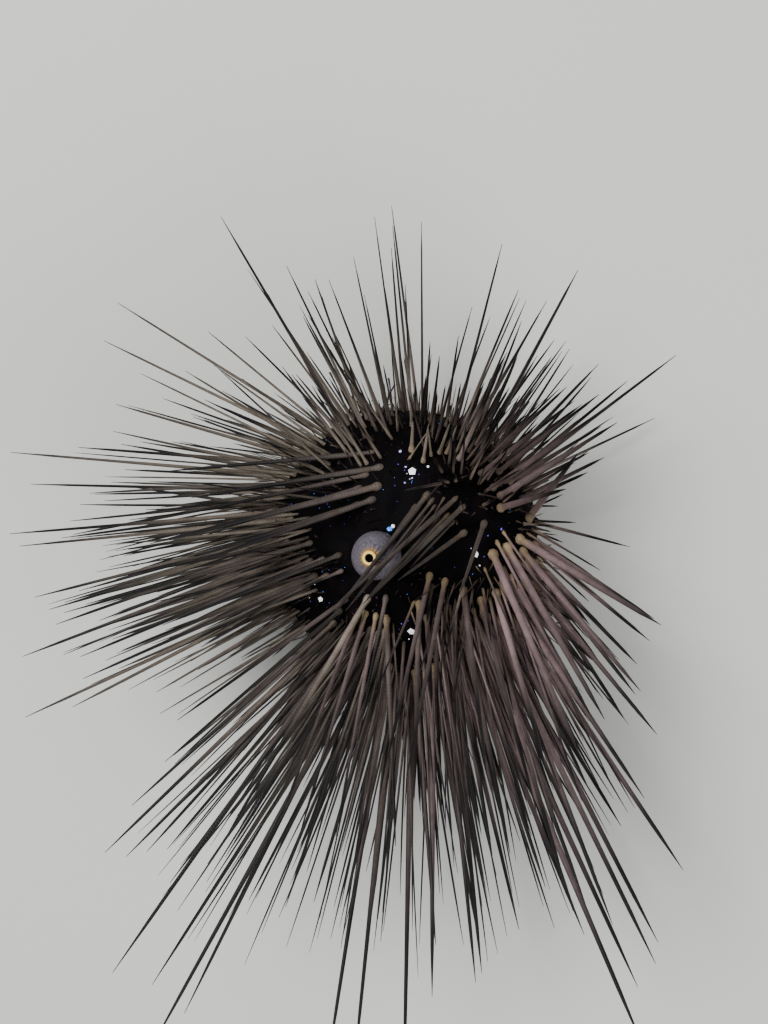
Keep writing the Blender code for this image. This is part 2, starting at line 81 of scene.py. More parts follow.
# The spines of the solids, drawn again in the same order from the same seed
spinePlan = {
    "rowSpacing": 4.3 * mm,
    "columnSpacing": 4.6 * mm,
    "sideMargin": 1.9 * mm,
    "pairOffset": 2.3 * mm,
    "rowJitter": 0.12,
    "columnJitter": 0.25 * mm,
    "bareShare": 0.36,
    "rootDepth": 1.3 * mm,
    "pointShare": 0.88,
    "pointThickness": 0.44,
    "thinRoot": 0.72 * mm,
    "thickRoot": 1.2 * mm,
    "longest": 130 * mm,
    "air": 0.6 * mm,
    "steepestLean": math.radians(66),
    "footShare": 0.8,
    "footTip": 0.8,
    "footSplay": 0.55,
    "uprightShare": 0.93,
    "footSteepness": 0.6,
    "tipClearance": 1.5 * mm,
    "pull": 0.72,
    "crownPull": 0.9,
    "crownAim": (234, 73),
    "crownFrom": math.radians(25),
    "crownRows": (0.2, 0.42),
    "wobble": 0.055,
    "wobbleGrowth": 1 / 12,
    "tries": 60,
    "uncutTries": 20,
    "cut": 0.97,
    "firstRow": 0.45,
    "edgeReach": 16 * mm,
    "samples": {"edge": 33, "mouth": 65, "cone": 121},  # points of a spine that are tested
    "farTurn": 1.5,  # in radians, beyond which a point counts as far outside its zone
    "lengthSpread": (0.8, 1.06, 0.98),
    "stunted": (0.24, 0.76),
    "stuntedPower": 1.5,
    "tuftFocus": 60,
    "seed": 2,
    # share of the way down the shell and full length in mm
    "lengthByRow": (
        (0.0, 58), (0.12, 76), (0.28, 94), (0.5, 100), (0.62, 84), (0.72, 54), (0.8, 28), (1.0, 14),
    ),
    # azimuth of the roots, azimuth and height angle of the aim, share of the full length, and how many of
    # them are long
    "tufts": (
        (235, 218, 6, 0.46, 0.8),
        (220, 211, 6, 0.47, 0.8),
        (205, 205, 10, 0.86, 0.35),
        (190, 203, 12, 0.88, 0.4),
        (176, 200, 14, 0.84, 0.45),
        (158, 198, 16, 0.79, 0.45),
        (140, 180, 14, 0.82, 0.45),
        (124, 146, 14, 0.74, 0.25),
        (107, 112, 20, 0.70, 0.15),
        (90, 92, 32, 0.56, 0.15),
        (72, 70, 40, 0.58, 0.15),
        (54, 55, 30, 0.78, 0.25),
        (37, 46, 34, 0.66, 0.35),
        (20, 28, 44, 0.44, 0.4),
        (4, -46, 40, 0.54, 0.5),
        (-10, -64, 32, 0.66, 0.5),
        (-26, -66, 22, 0.86, 0.4),
        (-42, -67, 16, 1.06, 0.36),
        (-58, -73, 12, 1.08, 0.3),
        (-74, -81, 12, 1.02, 0.22),
        (-87, -90, 13, 1.06, 0.3),
        (-98, -104, 10, 1.22, 0.3),
        (-109, -124, 12, 1.28, 0.35),
        (-119, -126, 14, 1.40, 0.6),
    ),
}
cone = {
    "radius": 6.2 * mm,
    "neck": 3.6 * mm,
    "ventSeat": 2.15 * mm,
    "ventRadius": 0.95 * mm,
    "ringRadius": 2.0 * mm,
    "ringHeight": 0.8 * mm,
    "plateRise": 0.8 * mm,
}
coneMiddle = poleZ + shell["gap"] + math.sqrt(cone["radius"] ** 2 - cone["neck"] ** 2)
coneTop = coneMiddle + math.sqrt(cone["radius"] ** 2 - cone["ventSeat"] ** 2)
mouth = {
    "lipDrop": 1.2 * mm,
    "depth": 3.5 * mm,
    "buccalRing": 8.4 * mm,
    "buccalRadius": 1.0 * mm,
    "buccalTurn": math.radians(9),
}


# Meshes and nodes

def linearColour(hexText):
    # an sRGB hex value as linear red, green and blue, with alpha 1
    levels = [int(hexText[place:place + 2], 16) / 255 for place in (1, 3, 5)]
    return tuple(v / 12.92 if v <= 0.04045 else ((v + 0.055) / 1.055) ** 2.4 for v in levels) + (1.0,)


def meshPiece(name, points, faces, material, smooth=True):
    mesh = bpy.data.meshes.new(name)
    mesh.from_pydata([tuple(p) for p in np.asarray(points) + axisShift], [], faces)
    mesh.update()
    mesh.materials.append(material)
    mesh.polygons.foreach_set("use_smooth", [smooth] * len(mesh.polygons))
    piece = bpy.data.objects.new(name, mesh)
    bpy.context.scene.collection.objects.link(piece)
    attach(piece, "root")
    return piece


def setAttribute(piece, name, values):
    layer = piece.data.attributes.new(name, "FLOAT", "POINT")
    layer.data.foreach_set("value", np.asarray(values, dtype=np.float32).ravel())


def setBakeMap(piece, cornerPlaces):
    layer = piece.data.uv_layers.new(name="OFBake")
    layer.data.foreach_set("uv", np.asarray(cornerPlaces, dtype=np.float32).ravel())


def addNode(tree, kind, settings=None, links=None, stops=()):
    # settings name sockets or properties, links name sockets and where each comes from, stops are a ramp's
    node = tree.nodes.new(kind)
    for key, value in (settings or {}).items():
        if isinstance(key, str) and hasattr(node, key):
            setattr(node, key, value)
        else:
            node.inputs[key].default_value = value
    for key, source in (links or {}).items():
        tree.links.new(source, node.inputs[key])
    for index, (place, hexText) in enumerate(stops):
        if index >= len(node.color_ramp.elements):
            node.color_ramp.elements.new(1.0)
        node.color_ramp.elements[index].position = place
        node.color_ramp.elements[index].color = linearColour(hexText)
    return node


def newMaterial(name):
    material = bpy.data.materials.new(name)
    material.use_nodes = True
    tree = material.node_tree
    shader = tree.nodes["Principled BSDF"]
    return material, tree, shader


def setSockets(shader, values):
    for key, value in values.items():
        shader.inputs[key].default_value = value


# The shell's form, shared by the skin and by all that grows from it

def meridianTable():
    turns = np.radians(np.linspace(90, -90, shell["meridianSteps"]))
    crown = turns >= 0
    power = np.where(crown, shell["crownPower"], shell["bellyPower"])
    reach = np.where(crown, shell["crownHeight"], shell["bellyDepth"])
    radius = shell["radius"] * np.abs(np.cos(turns)) ** (2 / power)
    height = shell["ambitusZ"] + np.sign(turns) * reach * np.abs(np.sin(turns)) ** (2 / power)
    discEdge = shell["discRadius"] + shell["gap"]
    mouthEdge = shell["mouthRadius"] + shell["gap"]
    kept = np.where(crown, radius >= discEdge, radius >= mouthEdge)
    radius, height = radius[kept], height[kept]
    steps = np.hypot(np.diff(radius), np.diff(height))
    return radius, height, np.concatenate([[0], np.cumsum(steps)])


meridian = meridianTable()
meridianLength = meridian[2][-1]
rowCount = round(meridianLength / spinePlan["rowSpacing"])


def onMeridian(share):
    arc = share * meridianLength
    return float(np.interp(arc, meridian[2], meridian[0])), float(np.interp(arc, meridian[2], meridian[1]))


def gradient(radius, height):
    # the form's value, nought on the shell, and its slopes outwards and upwards
    up = height >= shell["ambitusZ"]
    power = np.where(up, shell["crownPower"], shell["bellyPower"])
    reach = np.where(up, shell["crownHeight"], shell["bellyDepth"])
    side = radius / shell["radius"]
    rise = np.abs(height - shell["ambitusZ"]) / reach
    value = side**power + rise**power - 1
    out = power * side ** (power - 1) / shell["radius"]
    along = np.sign(height - shell["ambitusZ"]) * power * rise ** (power - 1) / reach
    return value, out, along


def heightOverShell(points):
    value, out, along = gradient(np.hypot(points[:, 0], points[:, 1]), points[:, 2])
    return value / np.hypot(out, along)


def direction(azimuth, elevation):
    level = math.cos(elevation)
    return np.array([level * math.cos(azimuth), level * math.sin(azimuth), math.sin(elevation)])


def unit(vector):
    return vector / np.linalg.norm(vector)


def viewAxes():
    # the right, the up and the back of the camera
    back = direction(view["leanTo"], math.pi / 2 - view["lean"])
    right = unit(np.cross([0, 1, 0], back))
    return right, np.cross(back, right), back


def shellPlace(azimuth, share):
    # a point of the shell and its outward normal
    radius, height = onMeridian(share)
    _, out, along = gradient(radius, height)
    foot = np.array([radius * math.cos(azimuth), radius * math.sin(azimuth), height])
    return foot, direction(azimuth, math.atan2(along, out))


def wideMiddle(pair):
    # the azimuth of the middle of a wide zone
    return shell["firstZone"] + pair * math.tau / shell["pairs"]


def zoneList():
    found = []
    for pair in range(shell["pairs"]):
        middle = wideMiddle(pair)
        found.append((f"interambulacrum_{pair + 1}", True, middle, shell["wideAngle"]))
        middle += math.pi / shell["pairs"]
        found.append((f"ambulacrum_{pair + 1}", False, middle, shell["narrowAngle"]))
    return found


def zoneOf(azimuth):
    sector = math.tau / shell["pairs"]
    fromEdge = azimuth - shell["firstZone"] + shell["wideAngle"] / 2
    pair = int((fromEdge % math.tau) // sector)
    return 2 * pair + (fromEdge % sector > shell["wideAngle"])


zones = zoneList()


# The main spines, each on its own solid spine

def zoneColumns(wide, share, radius, angle):
    plan = spinePlan
    half = radius * angle / 2 - plan["sideMargin"]
    if not wide:
        inner = min(half, plan["pairOffset"])
        return [-inner, inner] if half > plan["sideMargin"] / 2 else [0.0]
    if half < plan["sideMargin"] / 2:
        return [0.0]
    count = int(2 * half / plan["columnSpacing"]) + 1
    places = np.linspace(-half, half, max(count, 2))
    if share < plan["bareShare"]:
        places = [place for place in places if abs(place) > half - plan["columnSpacing"] / 2]
    return list(places)


def rootAt(zone, azimuth, share):
    foot, normal = shellPlace(azimuth, share)
    return {"zone": zone, "share": share, "azimuth": azimuth, "foot": foot, "normal": normal}


def spineRoots(draw):
    rowJitter, columnJitter = spinePlan["rowJitter"], spinePlan["columnJitter"]
    roots = []
    for zone, (_, wide, middle, angle) in enumerate(zones):
        for row in range(rowCount):
            share = (row + 0.5 + draw.uniform(-rowJitter, rowJitter)) / rowCount
            radius, _ = onMeridian(share)
            for place in zoneColumns(wide, share, radius, angle):
                azimuth = middle + (place + draw.uniform(-columnJitter, columnJitter)) / radius
                roots.append(rootAt(zone, azimuth, share))
    return roots


def tuftAt(azimuth):
    # the aim, the share of the full length and the share of long spines there
    places, turns, heights, reaches, shares = np.array(spinePlan["tufts"]).T
    weights = np.exp(spinePlan["tuftFocus"] * (np.cos(azimuth - np.radians(places)) - 1))
    weights /= weights.sum()
    aims = np.array([direction(*pair) for pair in zip(np.radians(turns), np.radians(heights))])
    return unit(weights @ aims), weights @ reaches, weights @ shares


def crownAt(root):
    # how much a root belongs to the crown, whose spines all lean over the cone
    crown = spinePlan["crownPull"] * float(np.interp(root["share"], spinePlan["crownRows"], (1, 0)))
    return crown * max(0.0, math.cos(root["azimuth"] - spinePlan["crownFrom"]))


def tuftWay(root, pull):
    # where a root's tuft and the crown's own lean turn its spine
    aim, reach, fullness = tuftAt(root["azimuth"])
    way = unit((1 - pull) * root["normal"] + pull * aim)
    crown = crownAt(root)
    way = unit((1 - crown) * way + crown * direction(*map(math.radians, spinePlan["crownAim"])))
    return way, reach, fullness


def byShare(rows, share):
    # a value read off a table of (share, value)
    return float(np.interp(share, *zip(*rows)))


def gaussVector(draw, spread):
    return np.array([draw.gauss(0, spread) for _ in range(3)])


def aimed(root, draw):
    plan = spinePlan
    way, reach, fullness = tuftWay(root, plan["pull"])
    if draw.random() > fullness:
        reach *= np.interp(draw.random() ** plan["stuntedPower"], (0, 1), plan["stunted"])
    length = byShare(plan["lengthByRow"], root["share"]) * mm
    return way, min(plan["longest"], length * reach * draw.triangular(*plan["lengthSpread"]))


def offFloor(foot, way, length):
    lowest = (spinePlan["tipClearance"] - foot[2]) / length
    if way[2] >= lowest:
        return way
    level = unit(way * (1, 1, 0)) * math.sqrt(1 - lowest**2)
    return level + np.array([0, 0, lowest])


def withinLean(way, normal):
    steepest = spinePlan["steepestLean"]
    lean = math.acos(min(1.0, float(way @ normal)))
    if lean <= steepest:
        return way
    side = unit(way - (way @ normal) * normal)
    return math.cos(steepest) * normal + math.sin(steepest) * side


def rootRadius(length):
    plan = spinePlan
    return plan["thinRoot"] + (plan["thickRoot"] - plan["thinRoot"]) * min(1.0, length / plan["longest"])


def thickness(share, radius, standing):
    plan = spinePlan
    stout = np.interp(share, (0, 1), (1, plan["footTip"]))
    pointed = np.interp(share, (0, plan["pointShare"], 1), (1, plan["pointThickness"], 0))
    return radius * np.where(standing, stout, pointed)


def closest(start, end, starts, ends):
    # how far a segment passes from others, and the share along it and along each where it does
    own, other, apart = end - start, ends - starts, start - starts
    ownSquare, otherSquare = own @ own, np.einsum("ij,ij->i", other, other)
    ownApart, otherApart, both = apart @ own, np.einsum("ij,ij->i", other, apart), other @ own
    spread = np.maximum(ownSquare * otherSquare - both**2, 1e-18)  # never nought, for parallel ones
    here = np.clip((both * otherApart - ownApart * otherSquare) / spread, 0, 1)
    there = np.clip((both * here + otherApart) / otherSquare, 0, 1)
    here = np.clip((both * there - ownApart) / ownSquare, 0, 1)
    gap = start + own * here[:, None] - starts - other * there[:, None]
    return np.linalg.norm(gap, axis=1), here, there


def pointsAlong(spine, length, samples):
    return spine["start"] + np.linspace(0, length, samples)[:, None] * spine["way"]


def clearOfZones(spine, zone):
    gap, farTurn = shell["gap"], spinePlan["farTurn"]
    _, _, middle, angle = zone
    reach = min(spine["length"], spinePlan["edgeReach"])
    points = pointsAlong(spine, reach, spinePlan["samples"]["edge"])
    radius = np.hypot(points[:, 0], points[:, 1])
    turn = np.arctan2(points[:, 1], points[:, 0]) - middle
    turn = (turn + math.pi) % math.tau - math.pi
    inside = radius * np.sin(np.clip(angle / 2 - np.abs(turn), -farTurn, farTurn)) - gap / 2
    over = heightOverShell(points)
    thick = spine["radius"]
    low, high = points[:, 2] < shell["ambitusZ"], points[:, 2] > shell["ambitusZ"]
    own = (inside > thick) & (low | (radius > shell["discRadius"] + gap + thick))
    besideMouth = high | (radius > shell["mouthRadius"] + gap + thick)
    plates = np.where(radius < shell["discRadius"] + thick, cone["plateRise"], 0)
    return bool(((own & besideMouth) | (over > thick + gap + plates)).all())


def clearOfMouth(spine):
    points = pointsAlong(spine, spine["length"], spinePlan["samples"]["mouth"])
    radius = np.hypot(points[:, 0], points[:, 1])
    edge = mouth["buccalRing"] + mouth["buccalRadius"] + shell["gap"] + spine["radius"]
    return bool(((points[:, 2] > shell["ambitusZ"]) | (radius > edge)).all())


def clearOfCone(spine):
    points = pointsAlong(spine, spine["length"], spinePlan["samples"]["cone"])
    far = np.linalg.norm(points - np.array([0, 0, coneMiddle]), axis=1)
    return bool((far > cone["radius"] + spine["radius"] + 2 * shell["gap"]).all())


def clearOfSpines(spine, placed, air):
    if not placed:
        return True
    starts, ends, radii, standing = (
        np.array([other[key] for other in placed]) for key in ("start", "tip", "radius", "standing"))
    gap, here, there = closest(spine["start"], spine["tip"], starts, ends)
    own = thickness(here, spine["radius"], spine["standing"])
    return bool((gap - own - thickness(there, radii, standing) > air).all())


def madeSpine(root, way, length, standing):
    start = root["foot"] - spinePlan["rootDepth"] * root["normal"]
    if standing:
        length = -start[2] / way[2]
    return {**root, "start": start, "way": way, "length": length, "radius": rootRadius(length),
            "tip": start + length * way, "standing": standing}


def placeSpine(root, placed, draw):
    plan = spinePlan
    standing = root["share"] > plan["footShare"]
    if standing:
        splay = plan["footSplay"] * (root["share"] < plan["uprightShare"])
        way = unit(np.array([0, 0, -1]) + splay * direction(root["azimuth"], 0))
        length = plan["longest"]
    else:
        way, length = aimed(root, draw)
    for attempt in range(plan["tries"]):
        loose = plan["wobble"] * (1 + attempt * plan["wobbleGrowth"])
        turned = withinLean(unit(way + gaussVector(draw, loose)), root["normal"])
        if not standing:
            turned = offFloor(root["foot"], turned, length)
        elif turned[2] > -plan["footSteepness"]:
            continue
        spine = madeSpine(root, turned, length, standing)
        ownSpace = clearOfZones(spine, zones[root["zone"]]) and clearOfCone(spine)
        if ownSpace and clearOfMouth(spine) and clearOfSpines(spine, placed, plan["air"]):
            return spine
        if attempt > plan["uncutTries"] and not standing:
            length *= plan["cut"]
    return None


def planSpines():
    draw = random.Random(spinePlan["seed"])

    def turnOf(root):
        # the ones that it stands on come first, then those nearest the fullest row
        return root["share"] <= spinePlan["footShare"], abs(root["share"] - spinePlan["firstRow"])

    placed = []
    for root in sorted(spineRoots(draw), key=turnOf):
        spine = placeSpine(root, placed, draw)
        if spine:
            placed.append(spine)
    return placed


mainSpines = planSpines()
misses = []
for zone, (name, *_) in enumerate(zones):
    low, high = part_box(name)
    tips = np.array([spine["tip"] for spine in mainSpines if spine["zone"] == zone]) + axisShift
    misses.append(max(tips[:, 0].max() - high.x, low.x - tips[:, 0].min(), tips[:, 2].max() - high.z))
print(f"main spines: {len(mainSpines)}, off the solids by {max(misses) / mm:.2f} mm at most")

# Spines posed one by one, in place of some that the plan drew: azimuth in degrees and share of the root,
# azimuth and rise of the spine in degrees, its length and its root's radius in mm
posed = {
    "crown": (
        (54, 0.214, 239, 40, 48, 0.88), (49, 0.209, 239, 40, 41, 0.55), (56, 0.134, 239, 38, 11, 0.62),
        (39, 0.291, 227, 42, 51, 0.84), (33, 0.289, 230, 44, 44, 0.84), (17, 0.239, 220, 50, 28, 0.8),
        (20, 0.309, 265, 55, 30, 0.8), (45, 0.234, 248, 45, 9, 0.4), (33, 0.199, 236, 50, 28, 0.7),
        (43, 0.127, 237, 42, 37, 0.7), (34, 0.167, 235, 46, 34, 0.7), (44, 0.182, 240, 48, 23, 0.45),
        (27, 0.204, 235, 50, 22, 0.52),
    ),
    "flank": (
        (2, 0.304, 308, 45, 75, 1.15), (5, 0.363, 310, 36, 61, 1.2), (7, 0.426, 337, 34, 54, 1.15),
        (2, 0.443, 319, 33, 56, 1.05), (350, 0.398, 309, 33, 48, 1.05), (12, 0.359, 318, 45, 35, 0.4),
        (8, 0.324, 310, 40, 44, 0.5),
    ),
    "corner": ((22, 0.373, 18, 50, 36, 1.0), (12, 0.52, 49, 42, 34, 1.1)),
    "hem": (
        (341, 0.077, 271, 48, 62, 0.8), (340, 0.139, 275, 52, 66, 0.8), (337, 0.217, 301, 58, 74, 0.9),
        (307, 0.092, 256, 40, 29, 0.42), (308, 0.105, 284, 46, 62, 0.84), (271, 0.112, 282, 30, 62, 0.86),
        (262, 0.102, 268, 30, 60, 0.64), (252, 0.1, 261, 30, 62, 0.74), (245, 0.144, 256, 28, 55, 0.74),
        (280, 0.393, 278, 12, 70, 0.86), (290, 0.383, 273, 12, 84, 1.05), (293, 0.441, 279, 12, 80, 0.95),
        (292, 0.548, 278, 8, 78, 1.05), (335, 0.294, 301, 47, 73, 0.9), (328, 0.286, 307, 48, 61, 0.55),
        (353, 0.274, 308, 45, 33, 0.34),
    ),
    "side": (
        (91, 0.284, 186, 14, 56, 0.8), (85, 0.227, 190, 18, 52, 0.9), (95, 0.197, 193, 24, 53, 0.75),
        (85, 0.154, 195, 28, 63, 1.0), (92, 0.1, 201, 32, 54, 0.85), (101, 0.154, 198, 24, 42, 0.6),
        (107, 0.09, 199, 26, 46, 0.75),
    ),
    "shoulder": (
        (32, 0.371, 33, 30, 48, 0.85), (37, 0.443, 35, 30, 42, 0.8), (27, 0.383, 31, 27, 44, 0.88),
        (22, 0.5, 27, 22, 28, 0.85), (21, 0.6, 25, 18, 19, 0.8), (40, 0.555, 34, 28, 31, 0.7),
        (31, 0.468, 30, 26, 34, 0.78), (27, 0.473, 32, 24, 29, 0.82), (44, 0.451, 39, 32, 36, 0.74),
        (33, 0.6, 39, 22, 27, 0.7), (27, 0.6, 27, 20, 22, 0.7), (41, 0.368, 34, 38, 45, 0.78),
    ),
    "sprig": (
        (78, 0.249, 46, 34, 13, 0.3), (68, 0.256, 70, 38, 14, 0.6), (77, 0.284, 76, 34, 10, 0.75),
        (65, 0.294, 85, 40, 11, 0.4), (63, 0.321, 60, 38, 12, 0.6), (60, 0.336, 59, 38, 11, 0.5),
    ),
    # the mauve and collar of the lower right groups, flank, corner and hem, hold painted light of the lit
    # side besides their own colour
    "looks": {
        "crown": {"tint": 0.36, "mauve": 0.03, "collar": 0.08, "fade": 0.45},
        "shoulder": {"tint": 0.34, "mauve": 0.3, "collar": 0.1, "fade": 0.8},
        "flank": {"tint": 0.34, "mauve": 0.85, "collar": 0.8, "fade": 0.65},
        "corner": {"tint": 0.3, "mauve": 0.4, "collar": 0.55, "fade": 0.8},
        "hem": {"tint": 0.48, "mauve": 0.24, "collar": 0.7, "fade": 0.8},
        "side": {"tint": 0.4, "mauve": 0.0, "collar": 0.05},
        "sprig": {"tint": 0.84, "mauve": 0.0, "collar": 0.4, "fade": 0.3},
    },
    "room": 3 * mm,  # from a posed root to the next one
    "crownLeast": 0.3,  # the plan's own long spines there make way
    "crownLength": 18 * mm,
    # azimuth, share and radius of the places where no spine of any size grows
    "barePatches": (
        (158, 0.105, 5.5 * mm), (66, 0.115, 5.5 * mm), (353, 0.147, 5 * mm), (6, 0.214, 4 * mm),
    ),
    # azimuth and share of the spots that stay in sight
    "inSight": ((72, 0.205), (0, 0.203), (288, 0.202), (216, 0.2), (72, 0.02)),
    "sightRadius": 1.3 * mm,
    "sightShare": 0.15,  # of the way to the camera, past the longest spines
}
patchPlaces = [
    (shellPlace(math.radians(turn), share)[0], radius) for turn, share, radius in posed["barePatches"]]
sightPlaces = [shellPlace(math.radians(turn), share) for turn, share in posed["inSight"]]


def onBarePatch(foot):
    return any(np.linalg.norm(foot - middle) < radius for middle, radius in patchPlaces)


def hidesSpot(spine):
    # whether it stands between the camera and one of the spots
    eye = np.array([0, 0, view["aimHeight"]]) + view["distance"] * viewAxes()[2]
    starts = np.array([foot + mm * normal for foot, normal in sightPlaces])
    ends = starts + posed["sightShare"] * (eye - starts)
    gap, _, _ = closest(spine["start"], spine["tip"], starts, ends)
    return bool((gap < posed["sightRadius"] + spine["radius"]).any())


def posedSpines():
    made = []
    for group in posed["looks"]:
        for turn, share, aim, rise, length, radius in posed[group]:
            azimuth = math.radians(turn)
            root = rootAt(zoneOf(azimuth), azimuth, share)
            start = root["foot"] - spinePlan["rootDepth"] * root["normal"]
            tip = root["foot"] + length * mm * direction(math.radians(aim), math.radians(rise))
            reach = float(np.linalg.norm(tip - start))
            made.append({**root, "start": start, "tip": tip, "way": unit(tip - start), "length": reach,
                         "radius": radius * mm, "standing": False, "group": group})
    return made


def makesWay(spine, made):
    if min(np.linalg.norm(spine["foot"] - other["foot"]) for other in made) < posed["room"]:
        return True
    if crownAt(spine) > posed["crownLeast"] and spine["length"] > posed["crownLength"]:
        return True
    return onBarePatch(spine["foot"]) or hidesSpot(spine) or not clearOfSpines(spine, made, 0)


posedOnes = posedSpines()
mainSpines = [spine for spine in mainSpines if not makesWay(spine, posedOnes)] + posedOnes
print(f"with {len(posedOnes)} posed ones: {len(mainSpines)}")


# Materials

def epidermis(name, look):
    # thin living skin over shell plates: pigment clouds, fine pimples and a wet sheen
    material, tree, shader = newMaterial(name)
    place = addNode(tree, "ShaderNodeTexCoord").outputs["Object"]
    clouds = {"Scale": look["cloudScale"], "Detail": 5.0}
    cloud = addNode(tree, "ShaderNodeTexNoise", clouds, {"Vector": place}).outputs["Fac"]
    tone = addNode(tree, "ShaderNodeValToRGB", links={"Fac": cloud}, stops=look["tones"])
    tree.links.new(tone.outputs["Color"], shader.inputs["Base Color"])
    pimple = addNode(tree, "ShaderNodeTexVoronoi", {"Scale": 1 / look["pimpleSize"]}, {"Vector": place})
    dents = {"Strength": 0.5, "Distance": look["pimpleHeight"], "invert": True}
    bump = addNode(tree, "ShaderNodeBump", dents, {"Height": pimple.outputs["Distance"]})
    tree.links.new(bump.outputs["Normal"], shader.inputs["Normal"])
    dull, wet = look["gloss"]
    gloss = addNode(tree, "ShaderNodeMapRange", {"To Min": dull, "To Max": wet}, {"Value": cloud})
    tree.links.new(gloss.outputs["Result"], shader.inputs["Roughness"])
    setSockets(shader, {"IOR": 1.38, "Specular IOR Level": look["sheen"]})
    return material


calcite = {
    "ior": 1.5,
    "roughness": 0.5,
    "sheen": 0.22,  # the rough barbed surface scatters most of what it mirrors
    "streaks": {"Scale": 300.0, "Detail": 5.0, "Roughness": 0.7},
    "mottle": (0.3, 1.6),
    "barbSpacing": 0.9,  # in mm; really about 0.5, drawn coarser so that the whorls of tiny barbs show
    "barbHeight": 0.00006,
}


def spineCalcite(name, look):
    # calcite needle under a thin pigmented skin: tan collar, dusky shaft, dark tip, satin whorls
    material, tree, shader = newMaterial(name)
    fromRoot, along, tint, mauve, paleness = (
        addNode(tree, "ShaderNodeAttribute", {"attribute_name": key}).outputs["Fac"]
        for key in ("fromRoot", "alongSpine", "tint", "mauve", "collar"))
    # the warm ramp, mixed in by the mauve attribute, brings in the painted light of the lit side
    dark, warm = (
        addNode(tree, "ShaderNodeValToRGB", links={"Fac": tint}, stops=look[key]).outputs["Color"]
        for key in ("dark", "warm"))
    colours = {"data_type": "RGBA"}
    shaft = addNode(tree, "ShaderNodeMix", colours, {"Factor": mauve, 6: dark, 7: warm}).outputs[2]
    darkens = {"From Min": look["tipFrom"], "From Max": look["tipTo"]}
    toTip = addNode(tree, "ShaderNodeMapRange", darkens, {"Value": along}).outputs["Result"]
    tipped = addNode(tree, "ShaderNodeMix", {**colours, 7: linearColour(look["tip"])},
                     {"Factor": toTip, 6: shaft}).outputs[2]
    place = addNode(tree, "ShaderNodeTexCoord").outputs["Object"]
    streak = addNode(tree, "ShaderNodeTexNoise", calcite["streaks"], {"Vector": place}).outputs["Fac"]
    # the tan of the collar ends unevenly, some millimetres up the shaft
    wander = addNode(tree, "ShaderNodeMath", {"operation": "MULTIPLY_ADD", 1: look["collarWander"]},
                     {0: streak, 2: fromRoot}).outputs[0]
    ends = {"From Min": look["collarFrom"], "From Max": look["collarTo"]}
    collar = addNode(tree, "ShaderNodeMapRange", ends, {"Value": wander}).outputs["Result"]
    tan = addNode(tree, "ShaderNodeMix", {**colours, 7: linearColour(look["tanCollar"])},
                  {"Factor": paleness, 6: shaft}).outputs[2]
    whole = addNode(tree, "ShaderNodeMix", colours, {"Factor": collar, 6: tan, 7: tipped}).outputs[2]
    least, most = calcite["mottle"]
    fine = addNode(tree, "ShaderNodeMapRange", {"To Min": least, "To Max": most}, {"Value": streak})
    mottled = addNode(tree, "ShaderNodeMix", {**colours, "blend_type": "MULTIPLY", "Factor": 1.0},
                      {6: whole, 7: fine.outputs["Result"]})
    tree.links.new(mottled.outputs[2], shader.inputs["Base Color"])
    turns = {"operation": "MULTIPLY", 1: math.tau / calcite["barbSpacing"]}
    wave = addNode(tree, "ShaderNodeMath", turns, {0: fromRoot}).outputs[0]
    ring = addNode(tree, "ShaderNodeMath", {"operation": "SINE"}, {0: wave}).outputs[0]
    barbs = {"Strength": 0.35, "Distance": calcite["barbHeight"]}
    bump = addNode(tree, "ShaderNodeBump", barbs, {"Height": ring})
    tree.links.new(bump.outputs["Normal"], shader.inputs["Normal"])
    setSockets(shader, {
        "Roughness": calcite["roughness"], "IOR": calcite["ior"], "Specular IOR Level": calcite["sheen"]})
    return material


# shades from the darkest spine to the palest, and heights over the skin in mm
mainLook = {
    "dark": [(0.0, "#221f1d"), (0.45, "#453e39"), (1.0, "#7b7163")],
    # the warm shades are paler partly as painted light of the lit lower right side
    "warm": [(0.0, "#604f51"), (0.5, "#8d7576"), (1.0, "#ae9796")],
    "tip": "#0b0707",
    "tipFrom": 0.19,
    "tipTo": 0.6,
    "tanCollar": "#917d5d",
    "collarFrom": 1.6,
    "collarTo": 7.5,
    "collarWander": 2.0,
}
fineLook = {
    "dark": [(0.0, "#1c1818"), (0.5, "#2f2926"), (1.0, "#4b4237")],
    # the warm shades are paler partly as painted light of the lit lower right side
    "warm": [(0.0, "#4a3939"), (0.5, "#6a5552"), (1.0, "#8a7468")],
    "tip": "#0e0a0a",
    "tipFrom": 0.3,
    "tipTo": 0.85,
    "tanCollar": "#85745a",
    "collarFrom": 0.6,
    "collarTo": 3.0,
    "collarWander": 1.0,
}
shellLook = {
    "sheen": 0.05,  # soft slimy skin mirrors far less than its refraction alone would
    "tones": [(0.3, "#030203"), (0.52, "#060406"), (0.75, "#130a0c")],
    "cloudScale": 160.0,
    "pimpleSize": 0.0007,  # as on the real plates
    "pimpleHeight": 0.00012,
    "gloss": (0.5, 0.75),
}
mouthLook = {
    "sheen": 0.5,
    "tones": [(0.3, "#2a1614"), (0.52, "#432823"), (0.75, "#5d3c33")],
    "cloudScale": 260.0,
    "pimpleSize": 0.0009,
    "pimpleHeight": 0.0001,
    "gloss": (0.35, 0.5),
}
skinMaterial = epidermis("thinBlackEpidermis", shellLook)
mouthMaterial = epidermis("softPeristomeSkin", mouthLook)
mainMaterial = spineCalcite("calciteNeedle", mainLook)
fineMaterial = spineCalcite("calciteBristle", fineLook)


